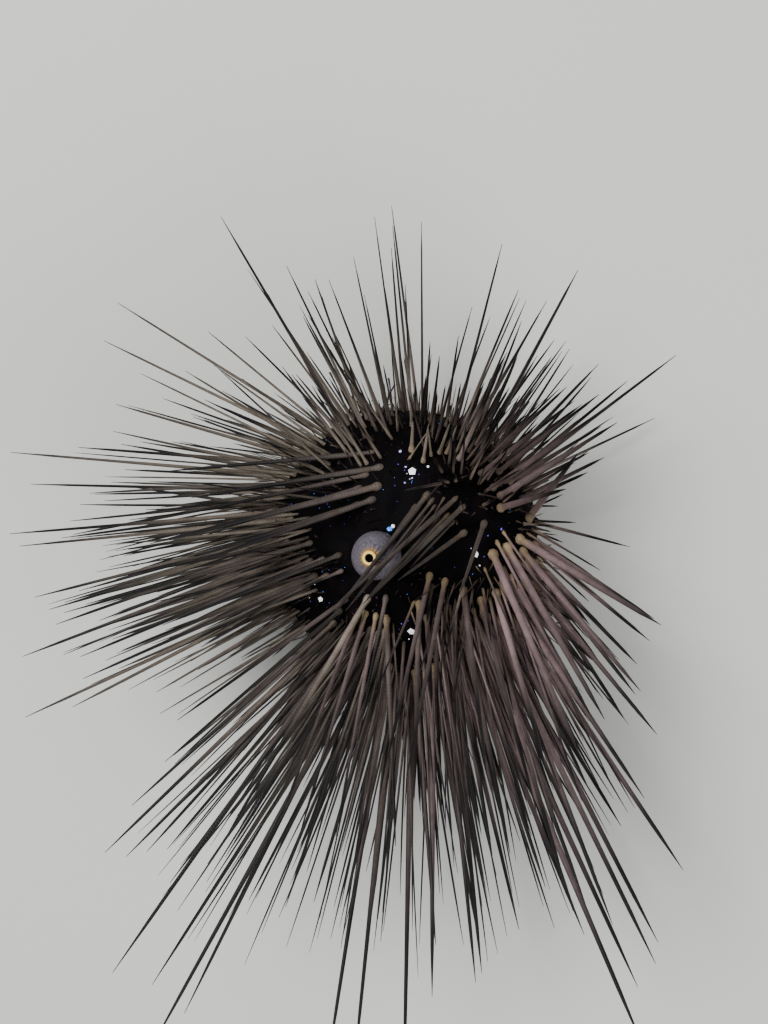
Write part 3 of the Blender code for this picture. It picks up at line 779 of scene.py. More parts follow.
def coneMembrane():
    # thin blown-up bag: smoky mauve, finely mottled, with painted shade at its foot and down its throat,
    # glowing a little within
    material, tree, shader = newMaterial("coneMembrane")
    place = addNode(tree, "ShaderNodeTexCoord").outputs["Object"]
    foot, amber = (
        addNode(tree, "ShaderNodeAttribute", {"attribute_name": key}).outputs["Fac"]
        for key in ("footShade", "amber"))
    mottle = addNode(tree, "ShaderNodeTexNoise", {"Scale": 2200.0, "Detail": 4.0}, {"Vector": place})
    smoky = [(0.3, "#3d3a41"), (0.5, "#544f57"), (0.72, "#6b666e")]
    skin = addNode(tree, "ShaderNodeValToRGB", links={"Fac": mottle.outputs["Fac"]}, stops=smoky)
    # painted shade colour, at the bag's foot and in its throat
    shaded = addNode(tree, "ShaderNodeMix", {"data_type": "RGBA", 7: linearColour("#131019")},
                     {"Factor": foot, 6: skin.outputs["Color"]})
    glow = [(0.0, "#544f57"), (0.4, "#625650"), (0.7, "#8b6b44"), (0.95, "#cba05a")]
    warm = addNode(tree, "ShaderNodeValToRGB", links={"Fac": amber}, stops=glow)
    reach = addNode(tree, "ShaderNodeMapRange", {"From Max": 0.3}, {"Value": amber})
    whole = addNode(tree, "ShaderNodeMix", {"data_type": "RGBA"}, {
        "Factor": reach.outputs["Result"], 6: shaded.outputs[2], 7: warm.outputs["Color"]})
    tree.links.new(whole.outputs[2], shader.inputs["Base Color"])
    grain = {"Strength": 0.25, "Distance": 0.00015}
    bump = addNode(tree, "ShaderNodeBump", grain, {"Height": mottle.outputs["Fac"]})
    tree.links.new(bump.outputs["Normal"], shader.inputs["Normal"])
    setSockets(shader, {
        "Roughness": 0.42, "IOR": 1.38, "Subsurface Weight": 0.25, "Subsurface Radius": (0.6, 0.5, 0.6),
        "Subsurface Scale": 0.001})
    return material


def ventLip():
    # fleshy lip of the vent: cream inside, amber outside, and painted shade, near black, down the hole
    material, tree, shader = newMaterial("ventLipFlesh")
    across = addNode(tree, "ShaderNodeAttribute", {"attribute_name": "across"}).outputs["Fac"]
    # the first two shades are the painted shade down the hole
    flesh = [(0.0, "#060406"), (0.1, "#24160d"), (0.19, "#ffe694"), (0.5, "#ffd873"), (0.76, "#eab552"),
             (1.0, "#a9834c")]
    tone = addNode(tree, "ShaderNodeValToRGB", links={"Fac": across}, stops=flesh)
    tree.links.new(tone.outputs["Color"], shader.inputs["Base Color"])
    setSockets(shader, {
        "Roughness": 0.35, "IOR": 1.4, "Subsurface Weight": 0.2, "Subsurface Scale": 0.0006})
    return material


def plainTissue(name, hexText, roughness, ior=1.4, glow=0.0):
    material, _, shader = newMaterial(name)
    setSockets(shader, {"Base Color": linearColour(hexText), "Roughness": roughness, "IOR": ior})
    if glow:
        setSockets(shader, {"Emission Color": linearColour(hexText), "Emission Strength": glow})
    return material


coneMaterial = coneMembrane()
lipMaterial = ventLip()
# guanine platelets under the skin throw light back brightly; here all four spot materials also carry a
# painted glow, an emission that keeps them bright under any light
whiteMaterial = plainTissue("guanineWhiteSpot", "#f4f6fa", 0.3, 1.5, 0.5)
blueMaterial = plainTissue("iridophoreBlue", "#3f88f4", 0.3, 1.5, 0.5)
lilacMaterial = plainTissue("iridophoreLilac", "#b9b4f4", 0.3, 1.5, 0.45)
violetMaterial = plainTissue("iridophoreViolet", "#5c52dc", 0.35, 1.5, 0.4)
footMaterial = plainTissue("tubeFootMuscle", "#2b1d1c", 0.45)
toothMaterial = plainTissue("toothCalcite", "#e4dfd0", 0.3, 1.6)
gumMaterial = plainTissue("jawMembrane", "#3a2522", 0.5)


# Bake map: the skin opened out flat from its top, so that a root's place is its place on the skin

bakeMap = {
    "disc": 0.06,  # reach of the disc and of the shell from the map's middle
    "shell": 0.42,
    "spine": 0.003,  # reach of one spine's patch and of one dome's
    "dome": 0.0012,
}


def bakePlace(azimuth, share):
    # shares under nought are on the disc, where -1 is the middle
    reach = bakeMap["disc"] * (1 + min(share, 0.0)) + bakeMap["shell"] * max(share, 0.0)
    return np.array([0.5 + reach * math.cos(azimuth), 0.5 + reach * math.sin(azimuth)])


def sheetFaces(depth, turns, bakeOf):
    # faces of a sheet with so many points from edge to edge, turned round the axis, and its bake map
    faces, places = [], []
    for turn in range(turns):
        here, after = turn * depth, (turn + 1) % turns * depth
        for row in range(depth - 1):
            faces.append((here + row, here + row + 1, after + row + 1, after + row))
            for t, r in ((turn, row), (turn, row + 1), (turn + 1, row + 1), (turn + 1, row)):
                places.append(bakeOf(math.tau * t / turns, r))
    return faces, places


# Skin over the whole shell, in one piece

skinLook = {
    "turns": 340,
    "rows": 104,
    "ridge": 0.45 * mm,  # the narrow zones stand proud
    "furrow": 0.55 * mm,  # the bare middle of each wide zone lies low
    "furrowTo": 0.55,
    "levelRims": 14,  # both fade out over a fourteenth of the way from each rim
    "lipDepth": 1.2 * mm,
}


def zoneWave(azimuth):
    # from 1 in the middle of a wide zone to -1 in the middle of a narrow one
    return math.cos(shell["pairs"] * (azimuth - shell["firstZone"]))


def skinLift(azimuth, share):
    # how far the skin stands off the plain form
    wave = zoneWave(azimuth)
    upper = max(0.0, 1 - share / skinLook["furrowTo"])
    lift = -skinLook["furrow"] * max(0.0, wave) ** 3 * upper + skinLook["ridge"] * max(0.0, -wave) ** 2
    return lift * min(1.0, skinLook["levelRims"] * share, skinLook["levelRims"] * (1 - share))


def skinPlace(azimuth, share):
    foot, normal = shellPlace(azimuth, share)
    return foot + skinLift(azimuth, share) * normal, normal


def makeSkin():
    turns, rows = skinLook["turns"], skinLook["rows"]
    shares = [row / rows for row in range(rows + 1)]
    discWall, mouthWall = shell["discRadius"] + shell["gap"], shell["mouthRadius"] + shell["gap"]
    discZ, mouthZ = onMeridian(0)[1] - skinLook["lipDepth"], onMeridian(1)[1] + skinLook["lipDepth"]
    points = []
    for turn in range(turns):
        azimuth = math.tau * turn / turns
        out = direction(azimuth, 0)
        points.append(out * discWall + np.array([0, 0, discZ]))
        points += [skinPlace(azimuth, share)[0] for share in shares]
        points.append(out * mouthWall + np.array([0, 0, mouthZ]))
    rowShares = [-0.01] + shares + [1.01]  # the walls lie just past the rims
    faces, places = sheetFaces(rows + 3, turns, lambda azimuth, row: bakePlace(azimuth, rowShares[row]))
    piece = meshPiece("testSkin", points, faces, skinMaterial)
    setBakeMap(piece, places)
    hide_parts(*[name for name, *_ in zones])


makeSkin()
print("skin made")


# Spines as tapered tubes, many to a mesh

def tubeMesh(name, spines, sides, stations, widthAt, material):
    # stations are lengths along each spine in metres; widthAt gives the radius at each
    count, rings = len(spines), stations.shape[1]
    starts = np.array([spine["start"] for spine in spines])
    ways = np.array([spine["way"] for spine in spines])
    helper = np.where(np.abs(ways[:, 2:3]) > 0.9, [[1.0, 0, 0]], [[0, 0, 1.0]])
    side = np.cross(ways, helper)
    side /= np.linalg.norm(side, axis=1, keepdims=True)
    across = np.cross(ways, side)
    turns = np.arange(sides) * math.tau / sides
    turns = turns[None, :, None]
    rim = np.cos(turns) * side[:, None, :] + np.sin(turns) * across[:, None, :]
    middle = starts[:, None, :] + stations[:, :, None] * ways[:, None, :]
    bend = np.array([spine.get("bend", np.zeros(3)) for spine in spines])
    share = stations / np.maximum(stations[:, -1:], 1e-9)
    middle = middle + (share**2)[:, :, None] * bend[:, None, :]
    points = middle[:, :, None, :] + widthAt[:, :, None, None] * rim[:, None, :, :]
    points[..., 2] = np.maximum(points[..., 2], 0.0)
    index = np.arange(count * rings * sides).reshape(count, rings, sides)
    around = np.roll(index, -1, axis=2)
    quads = np.stack([index[:, :-1], around[:, :-1], around[:, 1:], index[:, 1:]], axis=-1)
    caps = np.concatenate([index[:, 0, ::-1], index[:, -1]])
    faces = [tuple(face) for face in quads.reshape(-1, 4).tolist() + caps.tolist()]
    piece = meshPiece(name, points.reshape(-1, 3), faces, material)
    # each spine is a patch of the bake map at its root's place, its length up and its turn across
    homes = np.array([bakePlace(spine["azimuth"], spine["share"]) for spine in spines])
    up = np.linspace(-0.5, 0.5, rings)
    turnShare = np.arange(sides + 1) / sides - 0.5
    grid = np.stack(np.broadcast_arrays(turnShare[None, :], up[:, None]), axis=-1) * bakeMap["spine"]
    corner = np.stack([grid[:-1, :-1], grid[:-1, 1:], grid[1:, 1:], grid[1:, :-1]], axis=2)
    quadPlaces = homes[:, None, None, None, :] + corner[None]
    lowCap = homes[:, None, :] + grid[0, :sides][None, ::-1]
    highCap = homes[:, None, :] + grid[-1, :sides][None]
    setBakeMap(piece, np.concatenate([part.reshape(-1, 2) for part in (quadPlaces, lowCap, highCap)]))
    emerge = np.array([spine["emerge"] for spine in spines])
    fades = np.array([spine.get("fade", 1.0) for spine in spines])
    alongValues = np.repeat((share * fades[:, None])[:, :, None], sides, axis=2)
    rootValues = np.repeat(((stations - emerge[:, None]) / mm)[:, :, None], sides, axis=2)
    setAttribute(piece, "alongSpine", alongValues)
    setAttribute(piece, "fromRoot", rootValues)
    for key in ("tint", "mauve", "collar"):
        values = np.array([spine.get(key, 0.0) for spine in spines])
        setAttribute(piece, key, np.broadcast_to(values[:, None, None], alongValues.shape))


shades = {
    "seed": 7,
    "tint": (0.48, 0.22),  # middle and spread
    "palest": 0.84,
    "spread": 0.06,  # of the other looks, from one spine to the next
    "litSideAim": math.radians(-46),  # partly the spines' own mauve, partly painted light: the lower right side, where the light falls, is drawn palest and most mauve
    "mauvePower": 6,
    "mauveLeast": 0.08,
    "mauveGain": 0.87,
    "shoulderAim": math.radians(35),  # the upper right side gets a little of the same mauve and painted light too
    "shoulderPower": 12,
    "shoulderGain": 0.28,
    "paleAim": math.radians(-149),  # one short tuft on the left is a pale grey-brown
    "palePower": 30,
    "paleGain": 0.5,
    "paleRows": ((0.2, 0), (0.36, 1)),
    # on the left the low spines are paler than the rest, the high ones darker, and none is mauve
    "leftAim": math.radians(155),
    "leftPower": 2,
    "leftRows": ((0.13, 0), (0.27, 1)),
    "leftPale": ((0.13, -0.25), (0.27, 0.5)),
    "leftMauveLoss": 0.8,
    "collar": (0.06, 0.9),  # tan of the knobs in general, and more of it on the mauve side as painted light
    "mauveFade": 0.25,  # the mauve ones darken later towards their tips as painted light of the lit side, and the pale ones later still
    "evenFade": 0.45,
    "evenShare": 0.4,  # of the low spines on the left
    "crownGain": 0.4,  # the crown's spines are taupe
    "leanLeast": 0.35,
    "emergeMost": 0.6,
}


def held(value, most=1.0):
    return min(most, max(0.0, value))


def facing(turn, aim, power):
    # from 1 for a spine that leans the way of the aim to 0 for one at a right angle to it
    return max(0.0, math.cos(turn - aim)) ** power


def aimTurn(spine):
    return math.atan2(spine["way"][1], spine["way"][0])


def emergence(spine, depth, most):
    # how far along it a spine leaves the skin
    lean = max(shades["leanLeast"], float(spine["way"] @ spine["normal"]))
    return min(depth / lean, spine["length"] * most)


def addLooks(spines, draw):
    # each spine's own tone, the mauve of its side with the painted light there, its collar, and how far up it
    # darkens
    for spine in spines:
        spine["emerge"] = emergence(spine, spinePlan["rootDepth"], shades["emergeMost"])
        turn, share, crown = aimTurn(spine), spine["share"], crownAt(spine)
        brown = shades["shoulderGain"] * facing(turn, shades["shoulderAim"], shades["shoulderPower"])
        # painted light: spines that lean to the lit lower right, and a little those to the upper right, get
        # the paler mauve
        warm = max(brown, facing(turn, shades["litSideAim"], shades["mauvePower"])) * (1 - crown)
        tuft = facing(turn, shades["paleAim"], shades["palePower"]) * byShare(shades["paleRows"], share)
        left = facing(turn, shades["leftAim"], shades["leftPower"]) * (1 - crown)
        pale = max(shades["paleGain"] * tuft, shades["crownGain"] * crown)
        pale += left * byShare(shades["leftPale"], share)
        even = left * byShare(shades["leftRows"], share) * (draw.random() < shades["evenShare"])
        mauve = shades["mauveLeast"] + shades["mauveGain"] * warm + draw.gauss(0, shades["spread"])
        plain, more = shades["collar"]
        spine["left"] = left
        spine["mauve"] = held(mauve * (1 - shades["leftMauveLoss"] * left))
        spine["tint"] = held(draw.gauss(*shades["tint"]) + pale, shades["palest"])
        # painted light of the lit side: more tan collar there, and a darkening that starts later towards the
        # tip
        spine["collar"] = held(plain + more * warm + draw.gauss(0, shades["spread"]))
        spine["fade"] = 1 - shades["mauveFade"] * spine["mauve"] - shades["evenFade"] * max(tuft, even)
        for key, value in posed["looks"].get(spine.get("group"), {}).items():
            spine[key] = held(value + draw.gauss(0, shades["spread"]))


# Radius at heights in mm over the skin, as shares of the shaft's: a round knob, a neck, then the shaft
collarForm = {
    "heights": (-1.0, -0.8, -0.4, 0.2, 0.8, 1.4, 2.0, 3.2, 5.5, 10.0),
    "widths": (0.25, 0.75, 1.12, 1.26, 1.2, 1.0, 0.86, 0.86, 0.94, 1.0),
    "sides": 8,
    "rings": 22,
    "knobMost": 0.4,  # of a spine's length
    "knobStep": 0.05 * mm,  # least height of each ring of it
    "thinnest": 0.07 * mm,
    # thickness on the dark side by the reach of the tuft, as a share of the solids'
    "slender": ((0.55, 0.5), (0.85, 0.82)),
    "stout": 1.12,  # and on the mauve side
    "leftSlimmer": 0.2,
    "looseAim": math.radians(110),  # the short tufts of the far side and the left are loose
    "looseCosine": -0.3,
    "looseBelow": 0.28,
    "looseTufts": ((0.62, 1), (0.92, 0)),
    "stubs": 0.58,  # share of their spines that are cut to stubs; the rest grow past the solids'
    "stubLength": (0.25, 0.5),
    "grownLength": (34 * mm, 58 * mm),
}


def thinOut(spine, draw):
    # short tufts are loose in life: a few long thin needles among stubs
    near = byShare(collarForm["looseTufts"], tuftAt(spine["azimuth"])[1])
    far = math.cos(aimTurn(spine) - collarForm["looseAim"]) > collarForm["looseCosine"]
    if "group" in spine or spine["standing"] or spine["share"] < collarForm["looseBelow"] or not far:
        return
    if draw.random() < collarForm["stubs"]:
        length = spine["length"] * draw.uniform(*collarForm["stubLength"])
    else:
        length = max(spine["length"], draw.uniform(*collarForm["grownLength"]))
    spine["length"] += near * (length - spine["length"])
    spine["way"] = offFloor(spine["foot"], spine["way"], spine["length"])
    spine["tip"] = spine["start"] + spine["length"] * spine["way"]


def mainForm(spine):
    # the places of its rings along a main spine, and its radius at each
    knob = collarForm["heights"]
    near = [
        spine["emerge"] + height * mm for height in knob
        if height * mm < collarForm["knobMost"] * spine["length"]]
    near = [max(collarForm["knobStep"] * place, along) for place, along in enumerate(near)]
    rest = np.linspace(near[-1], spine["length"], collarForm["rings"] + 1 - len(near))[1:]
    places = np.concatenate([near, rest])
    form = np.interp((places - spine["emerge"]) / mm, knob, collarForm["widths"])
    plain = thickness(places / spine["length"], spine["radius"], spine["standing"])
    stout = 1.0
    if "group" not in spine:
        slender = byShare(collarForm["slender"], tuftAt(spine["azimuth"])[1])
        stout = slender + (collarForm["stout"] - slender) * spine["mauve"]
        stout *= 1 - collarForm["leftSlimmer"] * spine["left"]
    return places, np.maximum(plain * stout, collarForm["thinnest"]) * form


def makeMainSpines():
    draw = random.Random(shades["seed"])
    for spine in mainSpines:
        thinOut(spine, draw)
    addLooks(mainSpines, draw)
    for zone, (name, *_) in enumerate(zones):
        own = [spine for spine in mainSpines if spine["zone"] == zone]
        stations, widths = np.array([mainForm(spine) for spine in own]).transpose(1, 0, 2)
        tubeMesh(f"mainSpines_{name}", own, collarForm["sides"], stations, widths, mainMaterial)


makeMainSpines()
print("main spines made")


# Finer spines between the main ones: slender bristles, and a short fuzz close to the skin

longBristles = {
    "count": 600,
    "spacing": 1.6 * mm,
    "fromMain": 1.5 * mm,
    "lengthShares": (0.22, 0.74),  # of a main spine there
    "fullReach": 0.8,
    "radii": (0.28 * mm, 0.45 * mm),
    "sides": 6,
    "rings": 12,
    "wobble": 0.07,
    "pull": 0.74,
    "air": 0.05 * mm,
    "rows": (0.17, 0.72),
    "sparse": (math.radians(122), 0.8),  # azimuth of the sparsest tufts, and the share left out there
    "material": mainMaterial,
    "seed": 10,
}
bristles = {
    "count": 720,
    "rows": (0.12, 0.985),
    "spacing": 1.5 * mm,
    "fromMain": 1.7 * mm,
    "lengths": (7 * mm, 30 * mm),
    "fullReach": 0.7,
    "radii": (0.15 * mm, 0.28 * mm),
    "sides": 5,
    "rings": 7,
    "wobble": 0.16,
    "pull": 0.5,
    "air": 0.15 * mm,
    "material": fineMaterial,
    "seed": 11,
}
fuzz = {
    "count": 1700,
    "spacing": 0.9 * mm,
    "fromMain": 1.25 * mm,
    "lengths": (1.8 * mm, 5.0 * mm),
    "radii": (0.11 * mm, 0.17 * mm),
    "sides": 4,
    "rings": 4,
    "wobble": 0.3,
    "pull": 0.2,
    "air": -0.1 * mm,
    "shade": 0.35,
    "material": fineMaterial,
    "seed": 12,
}


fineForm = {
    "places": 6,  # tried for each spine
    "turns": 8,  # tried at each place
    "rows": (0.015, 0.985),
    "bareWave": 0.45,  # how near the middle of a wide zone is bare, and of how much
    "bareLoss": 0.85,
    "thinning": 4,  # how sharply the short and the sparse tufts lose theirs
    "usual": 1.4,  # commonest length as a multiple of the shortest
    "reachGain": 1.3,
    "underside": 6 * mm,
    "rootDepth": 0.6 * mm,
    "emergeMost": 0.5,
    "bend": 0.012,
    "taper": ((0, 1.15), (0.1, 1.0), (0.84, 0.6), (1, 0.14)),
}


def fineRoot(form, mainFeet, placed, draw):
    share = draw.uniform(*form.get("rows", fineForm["rows"]))
    if draw.random() > onMeridian(share)[0] / shell["radius"]:  # as many for each patch of skin
        return None
    azimuth = draw.uniform(0, math.tau)
    root = rootAt(zoneOf(azimuth), azimuth, share)
    if np.linalg.norm(mainFeet - root["foot"], axis=1).min() < form["fromMain"] or onBarePatch(root["foot"]):
        return None
    feet = np.array([spine["foot"] for spine in placed])
    if placed and np.linalg.norm(feet - root["foot"], axis=1).min() < form["spacing"]:
        return None
    bare = zoneWave(azimuth) > fineForm["bareWave"] and share < spinePlan["bareShare"]
    if bare and draw.random() < fineForm["bareLoss"]:
        return None
    return root


def fineAim(form, root, draw):
    way, reach, _ = tuftWay(root, form["pull"])
    if draw.random() > (reach / form.get("fullReach", reach)) ** fineForm["thinning"]:
        return None
    sparseAt, leftOut = form.get("sparse", (0, 0))
    if draw.random() < leftOut * facing(root["azimuth"], sparseAt, fineForm["thinning"]):
        return None
    if "lengthShares" in form:
        full = byShare(spinePlan["lengthByRow"], root["share"]) * mm
        length = full * reach * draw.uniform(*form["lengthShares"])
    else:
        shortest, longest = form["lengths"]
        length = draw.triangular(shortest, longest, shortest * fineForm["usual"])
        length *= min(1.0, fineForm["reachGain"] * reach**2)
    if root["share"] > spinePlan["footShare"]:
        return root["normal"], min(length, fineForm["underside"])
    return way, length


def fineSpine(form, root, way, length, draw):
    for _ in range(fineForm["turns"]):
        turned = withinLean(unit(way + gaussVector(draw, form["wobble"])), root["normal"])
        turned = offFloor(root["foot"], turned, length)
        start = root["foot"] - fineForm["rootDepth"] * root["normal"]
        spine = {**root, "start": start, "way": turned, "length": length, "tip": start + length * turned,
                 "radius": draw.uniform(*form["radii"]), "standing": False}
        if not clearOfCone(spine) or not clearOfMouth(spine) or hidesSpot(spine):
            continue
        if clearOfSpines(spine, mainSpines, form["air"]):
            return spine
    return None


def growFine(form, name):
    draw = random.Random(form["seed"])
    mainFeet = np.array([spine["foot"] for spine in mainSpines])
    placed = []
    for _ in range(form["count"] * fineForm["places"]):
        if len(placed) >= form["count"]:
            break
        root = fineRoot(form, mainFeet, placed, draw)
        aim = root and fineAim(form, root, draw)
        spine = aim and fineSpine(form, root, *aim, draw)
        if spine:
            placed.append(spine)
    addLooks(placed, draw)
    for spine in placed:
        for key in ("tint", "mauve", "collar"):
            spine[key] *= form.get("shade", 1.0)
        spine["emerge"] = emergence(spine, fineForm["rootDepth"], fineForm["emergeMost"])
        spine["bend"] = gaussVector(draw, fineForm["bend"]) * spine["length"]
    shares = np.linspace(0, 1, form["rings"])
    stations = np.array([spine["length"] * shares for spine in placed])
    taper = np.interp(shares, *zip(*fineForm["taper"]))
    widths = np.array([spine["radius"] * taper for spine in placed])
    tubeMesh(name, placed, form["sides"], stations, widths, form["material"])
    print(f"{name}: {len(placed)}")


growFine(longBristles, "longBristles")
growFine(bristles, "bristleSpines")
growFine(fuzz, "fuzzSpines")


# Low bosses that the main spines turn on, and the spots, each a small dome set on the skin

domeForm = {
    "rings": 3,
    "sunk": 0.15 * mm,  # how far its rim goes into the skin
    "bakeTurn": 0.7,  # turn from one corner to the next on the bake map
    "upright": 0.9,  # a normal steeper than this takes its sides from X instead of Z
}


def domeOf(centre, normal, outline, rise, azimuth, share):
    # outline gives the radius of each corner; azimuth and share are its home on the bake map
    return {"centre": centre, "normal": normal, "outline": outline, "rise": rise, "azimuth": azimuth,
            "share": share}


def skinDome(azimuth, share, outline, rise):
    return domeOf(*skinPlace(azimuth, share), outline, rise, azimuth, share)


def domeParts(domes):
    rings, sunk = domeForm["rings"], domeForm["sunk"]
    points, faces, places = [], [], []
    for dome in domes:
        normal, count = dome["normal"], len(dome["outline"])
        level = abs(normal[2]) < domeForm["upright"]
        side = unit(np.cross(normal, [0.3, 0.2, 0.93] if level else [1.0, 0.1, 0]))
        across = np.cross(normal, side)
        first = len(points)
        for ring in range(rings):
            turn = math.pi / 2 * ring / rings
            out, rise = math.cos(turn), math.sin(turn) * (dome["rise"] + sunk) - sunk
            for step, radius in enumerate(dome["outline"]):
                around = math.tau * step / count
                flat = radius * out * (math.cos(around) * side + math.sin(around) * across)
                points.append(dome["centre"] + flat + rise * normal)
        points.append(dome["centre"] + dome["rise"] * normal)
        for ring in range(rings - 1):
            low, high = first + ring * count, first + (ring + 1) * count
            for step in range(count):
                after = (step + 1) % count
                faces.append((low + step, low + after, high + after, high + step))
        top = len(points) - 1
        faces += [(top - count + step, top - count + (step + 1) % count, top) for step in range(count)]
        turns = domeForm["bakeTurn"] * np.arange(4 * count * (rings - 1) + 3 * count)
        spread = np.stack([np.cos(turns), np.sin(turns)], axis=1) * bakeMap["dome"]
        places.append(bakePlace(dome["azimuth"], dome["share"]) + spread)
    return points, faces, np.concatenate(places)


def makeDomes(name, domes, material, smooth=True):
    points, faces, places = domeParts(domes)
    piece = meshPiece(name, points, faces, material, smooth)
    setBakeMap(piece, places)


bossForm = {"wider": 1.3, "rise": 0.45 * mm, "sides": 12}


def makeBosses():
    domes = []
    for spine in mainSpines:
        centre = spine["start"] + spine["emerge"] * spine["way"]
        outline = [spine["radius"] * bossForm["wider"]] * bossForm["sides"]
        domes.append(
            domeOf(centre, spine["normal"], outline, bossForm["rise"], spine["azimuth"], spine["share"]))
    makeDomes("spineBosses", domes, skinMaterial)


spots = {
    "seed": 5,
    "whiteRadii": (1.08 * mm, 0.95 * mm, 0.95 * mm, 0.98 * mm, 0.9 * mm),
    "whiteFromAxis": (21.9 * mm, 21.6 * mm, 21.6 * mm, 21.4 * mm, 23.3 * mm),
    "whiteCorners": 5,
    "whiteUneven": (0.68, 1.3),  # each corner's reach
    "whiteRise": 0.16 * mm,
    # azimuth in degrees, share, radius and kind of the small bright ones by the two clearest white spots
    "placed": (
        (77, 0.222, 0.36 * mm, "lilac"), (64, 0.254, 0.4 * mm, "white"), (70, 0.189, 0.3 * mm, "lilac"),
        (83, 0.279, 0.46 * mm, "lilac"), (74, 0.162, 0.26 * mm, "lilac"), (12, 0.349, 0.36 * mm, "violet"),
        (10, 0.289, 0.24 * mm, "violet"), (353, 0.254, 0.26 * mm, "white"),
    ),
    "placedUneven": (0.75, 1.25),
    "satellites": 4,
    "satelliteAway": (1.5, 4.2),  # in mm
    "satelliteRadii": (0.12 * mm, 0.24 * mm),
    "satelliteUneven": (0.7, 1.3),
    "smallCorners": 7,
    "smallRise": 0.12 * mm,
    "glints": 75,
    "glintRadii": (0.09 * mm, 0.18 * mm),
    "glintTurn": 0.36,
    "glintRows": (0.03, 0.5),
    "glintCorners": 6,
    "glintRise": 0.08 * mm,
    "crownRows": 400,  # of the meridian's table, from the top down
}


def unevenOutline(draw, radius, corners, reach):
    return [radius * draw.uniform(*reach) for _ in range(corners)]


def makeSpots():
    draw = random.Random(spots["seed"])
    dots = {"white": [], "lilac": [], "violet": [], "blue": []}
    large = []
    crown = slice(0, spots["crownRows"])
    for pair in range(shell["pairs"]):
        middle, fromAxis = wideMiddle(pair), spots["whiteFromAxis"][pair]
        whiteShare = float(np.interp(fromAxis, meridian[0][crown], meridian[2][crown])) / meridianLength
        corners = unevenOutline(draw, spots["whiteRadii"][pair], spots["whiteCorners"], spots["whiteUneven"])
        large.append(skinDome(middle, whiteShare, corners, spots["whiteRise"]))
        for _ in range(spots["satellites"]):
            away, turn = draw.uniform(*spots["satelliteAway"]) * mm, draw.uniform(0, math.tau)
            azimuth = middle + away * math.cos(turn) / fromAxis
            share = whiteShare + away * math.sin(turn) / meridianLength
            radius = draw.uniform(*spots["satelliteRadii"])
            outline = unevenOutline(draw, radius, spots["smallCorners"], spots["satelliteUneven"])
            kind = draw.choice(("white", "violet", "violet"))
            dots[kind].append(skinDome(azimuth, share, outline, spots["smallRise"]))
    for _ in range(spots["glints"]):
        middle = wideMiddle(draw.randrange(shell["pairs"]))
        azimuth = middle + draw.uniform(-spots["glintTurn"], spots["glintTurn"])
        share = draw.uniform(*spots["glintRows"])
        outline = [draw.uniform(*spots["glintRadii"])] * spots["glintCorners"]
        kind = draw.choice(("violet", "blue"))
        dots[kind].append(skinDome(azimuth, share, outline, spots["glintRise"]))
    for turn, share, radius, kind in spots["placed"]:
        outline = unevenOutline(draw, radius, spots["smallCorners"], spots["placedUneven"])
        dots[kind].append(skinDome(math.radians(turn), share, outline, spots["smallRise"]))
    makeDomes("whiteSpots", large + dots["white"], whiteMaterial, smooth=False)
    makeDomes("lilacDots", dots["lilac"], lilacMaterial, smooth=False)
    makeDomes("violetDots", dots["violet"], violetMaterial)
    makeDomes("blueDots", dots["blue"], blueMaterial)


makeBosses()
makeSpots()
print("bosses and spots made")


# Disc round the anal cone: the shell's form carried inwards, with five genital and five ocular plates

def sheetOfTurns(name, rows, turns, material, bakeOf, replaced):
    # rows of (radius, height) functions of azimuth, turned round the axis
    points = []
    for turn in range(turns):
        azimuth = math.tau * turn / turns
        for row in rows:
            radius, height = row(azimuth)
            points.append((radius * math.cos(azimuth), radius * math.sin(azimuth), height))
    depth = len(rows)
    faces, places = sheetFaces(depth, turns, lambda azimuth, row: bakeOf(azimuth, row / (depth - 1)))
    piece = meshPiece(name, points, faces, material)
    setBakeMap(piece, places)
    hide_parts(replaced)
    return piece


disc = {
    "turns": 150,
    "steps": 40,
    "inner": 2.6 * mm,
    "outer": 9.2 * mm,
    "genital": {"ring": 5.7 * mm, "size": 1.9 * mm, "rise": 0.7 * mm},
    "ocular": {"ring": 6.7 * mm, "size": 1.0 * mm, "rise": 0.3 * mm},
    "plateEdge": 0.62,  # how much of a plate's size is level
    "poreRing": 6.6 * mm,
    "poreSize": 0.3 * mm,
    "poreDepth": 0.45 * mm,
    "proud": 0.03,  # in mm; past the shell's edge it sinks by more and more
    "sinking": 0.06,
    "bakeFrom": -0.65,
    # radius, reach and turn of the spots on the genital plates
    "blueSpot": (6.4 * mm, 0.4 * mm, 0.0),
    "firstBlueSpot": (6.4 * mm, 0.86 * mm, 0.0),
    "firstWhiteSpot": (7.55 * mm, 0.55 * mm, -0.07),
    "spotLean": 0.35,
    "spotCorners": 10,
    "spotRise": 0.3 * mm,
}


def formHeight(radius):
    power = shell["crownPower"]
    rise = (1 - (radius / shell["radius"]) ** power) ** (1 / power)
    return shell["ambitusZ"] + shell["crownHeight"] * rise


def discHeight(radius, azimuth):
    height = formHeight(radius)
    x, y = radius * math.cos(azimuth), radius * math.sin(azimuth)

    def awayFrom(turn, ring):
        return math.hypot(x - ring * math.cos(turn), y - ring * math.sin(turn))

    for pair in range(shell["pairs"]):
        middle = wideMiddle(pair)
        for turn, plate in ((middle, disc["genital"]), (middle + math.pi / shell["pairs"], disc["ocular"])):
            away = awayFrom(turn, plate["ring"]) / (disc["plateEdge"] * plate["size"])
            height += plate["rise"] * math.exp(-(away**4))
        away = awayFrom(middle, disc["poreRing"]) / disc["poreSize"]
        height -= disc["poreDepth"] * math.exp(-(away**2))
    # its rim sinks gently under the shell's skin, so that no seam shows
    edge = max(0.0, radius - shell["discRadius"]) / mm
    return height + (disc["proud"] - disc["sinking"] * edge**2) * mm


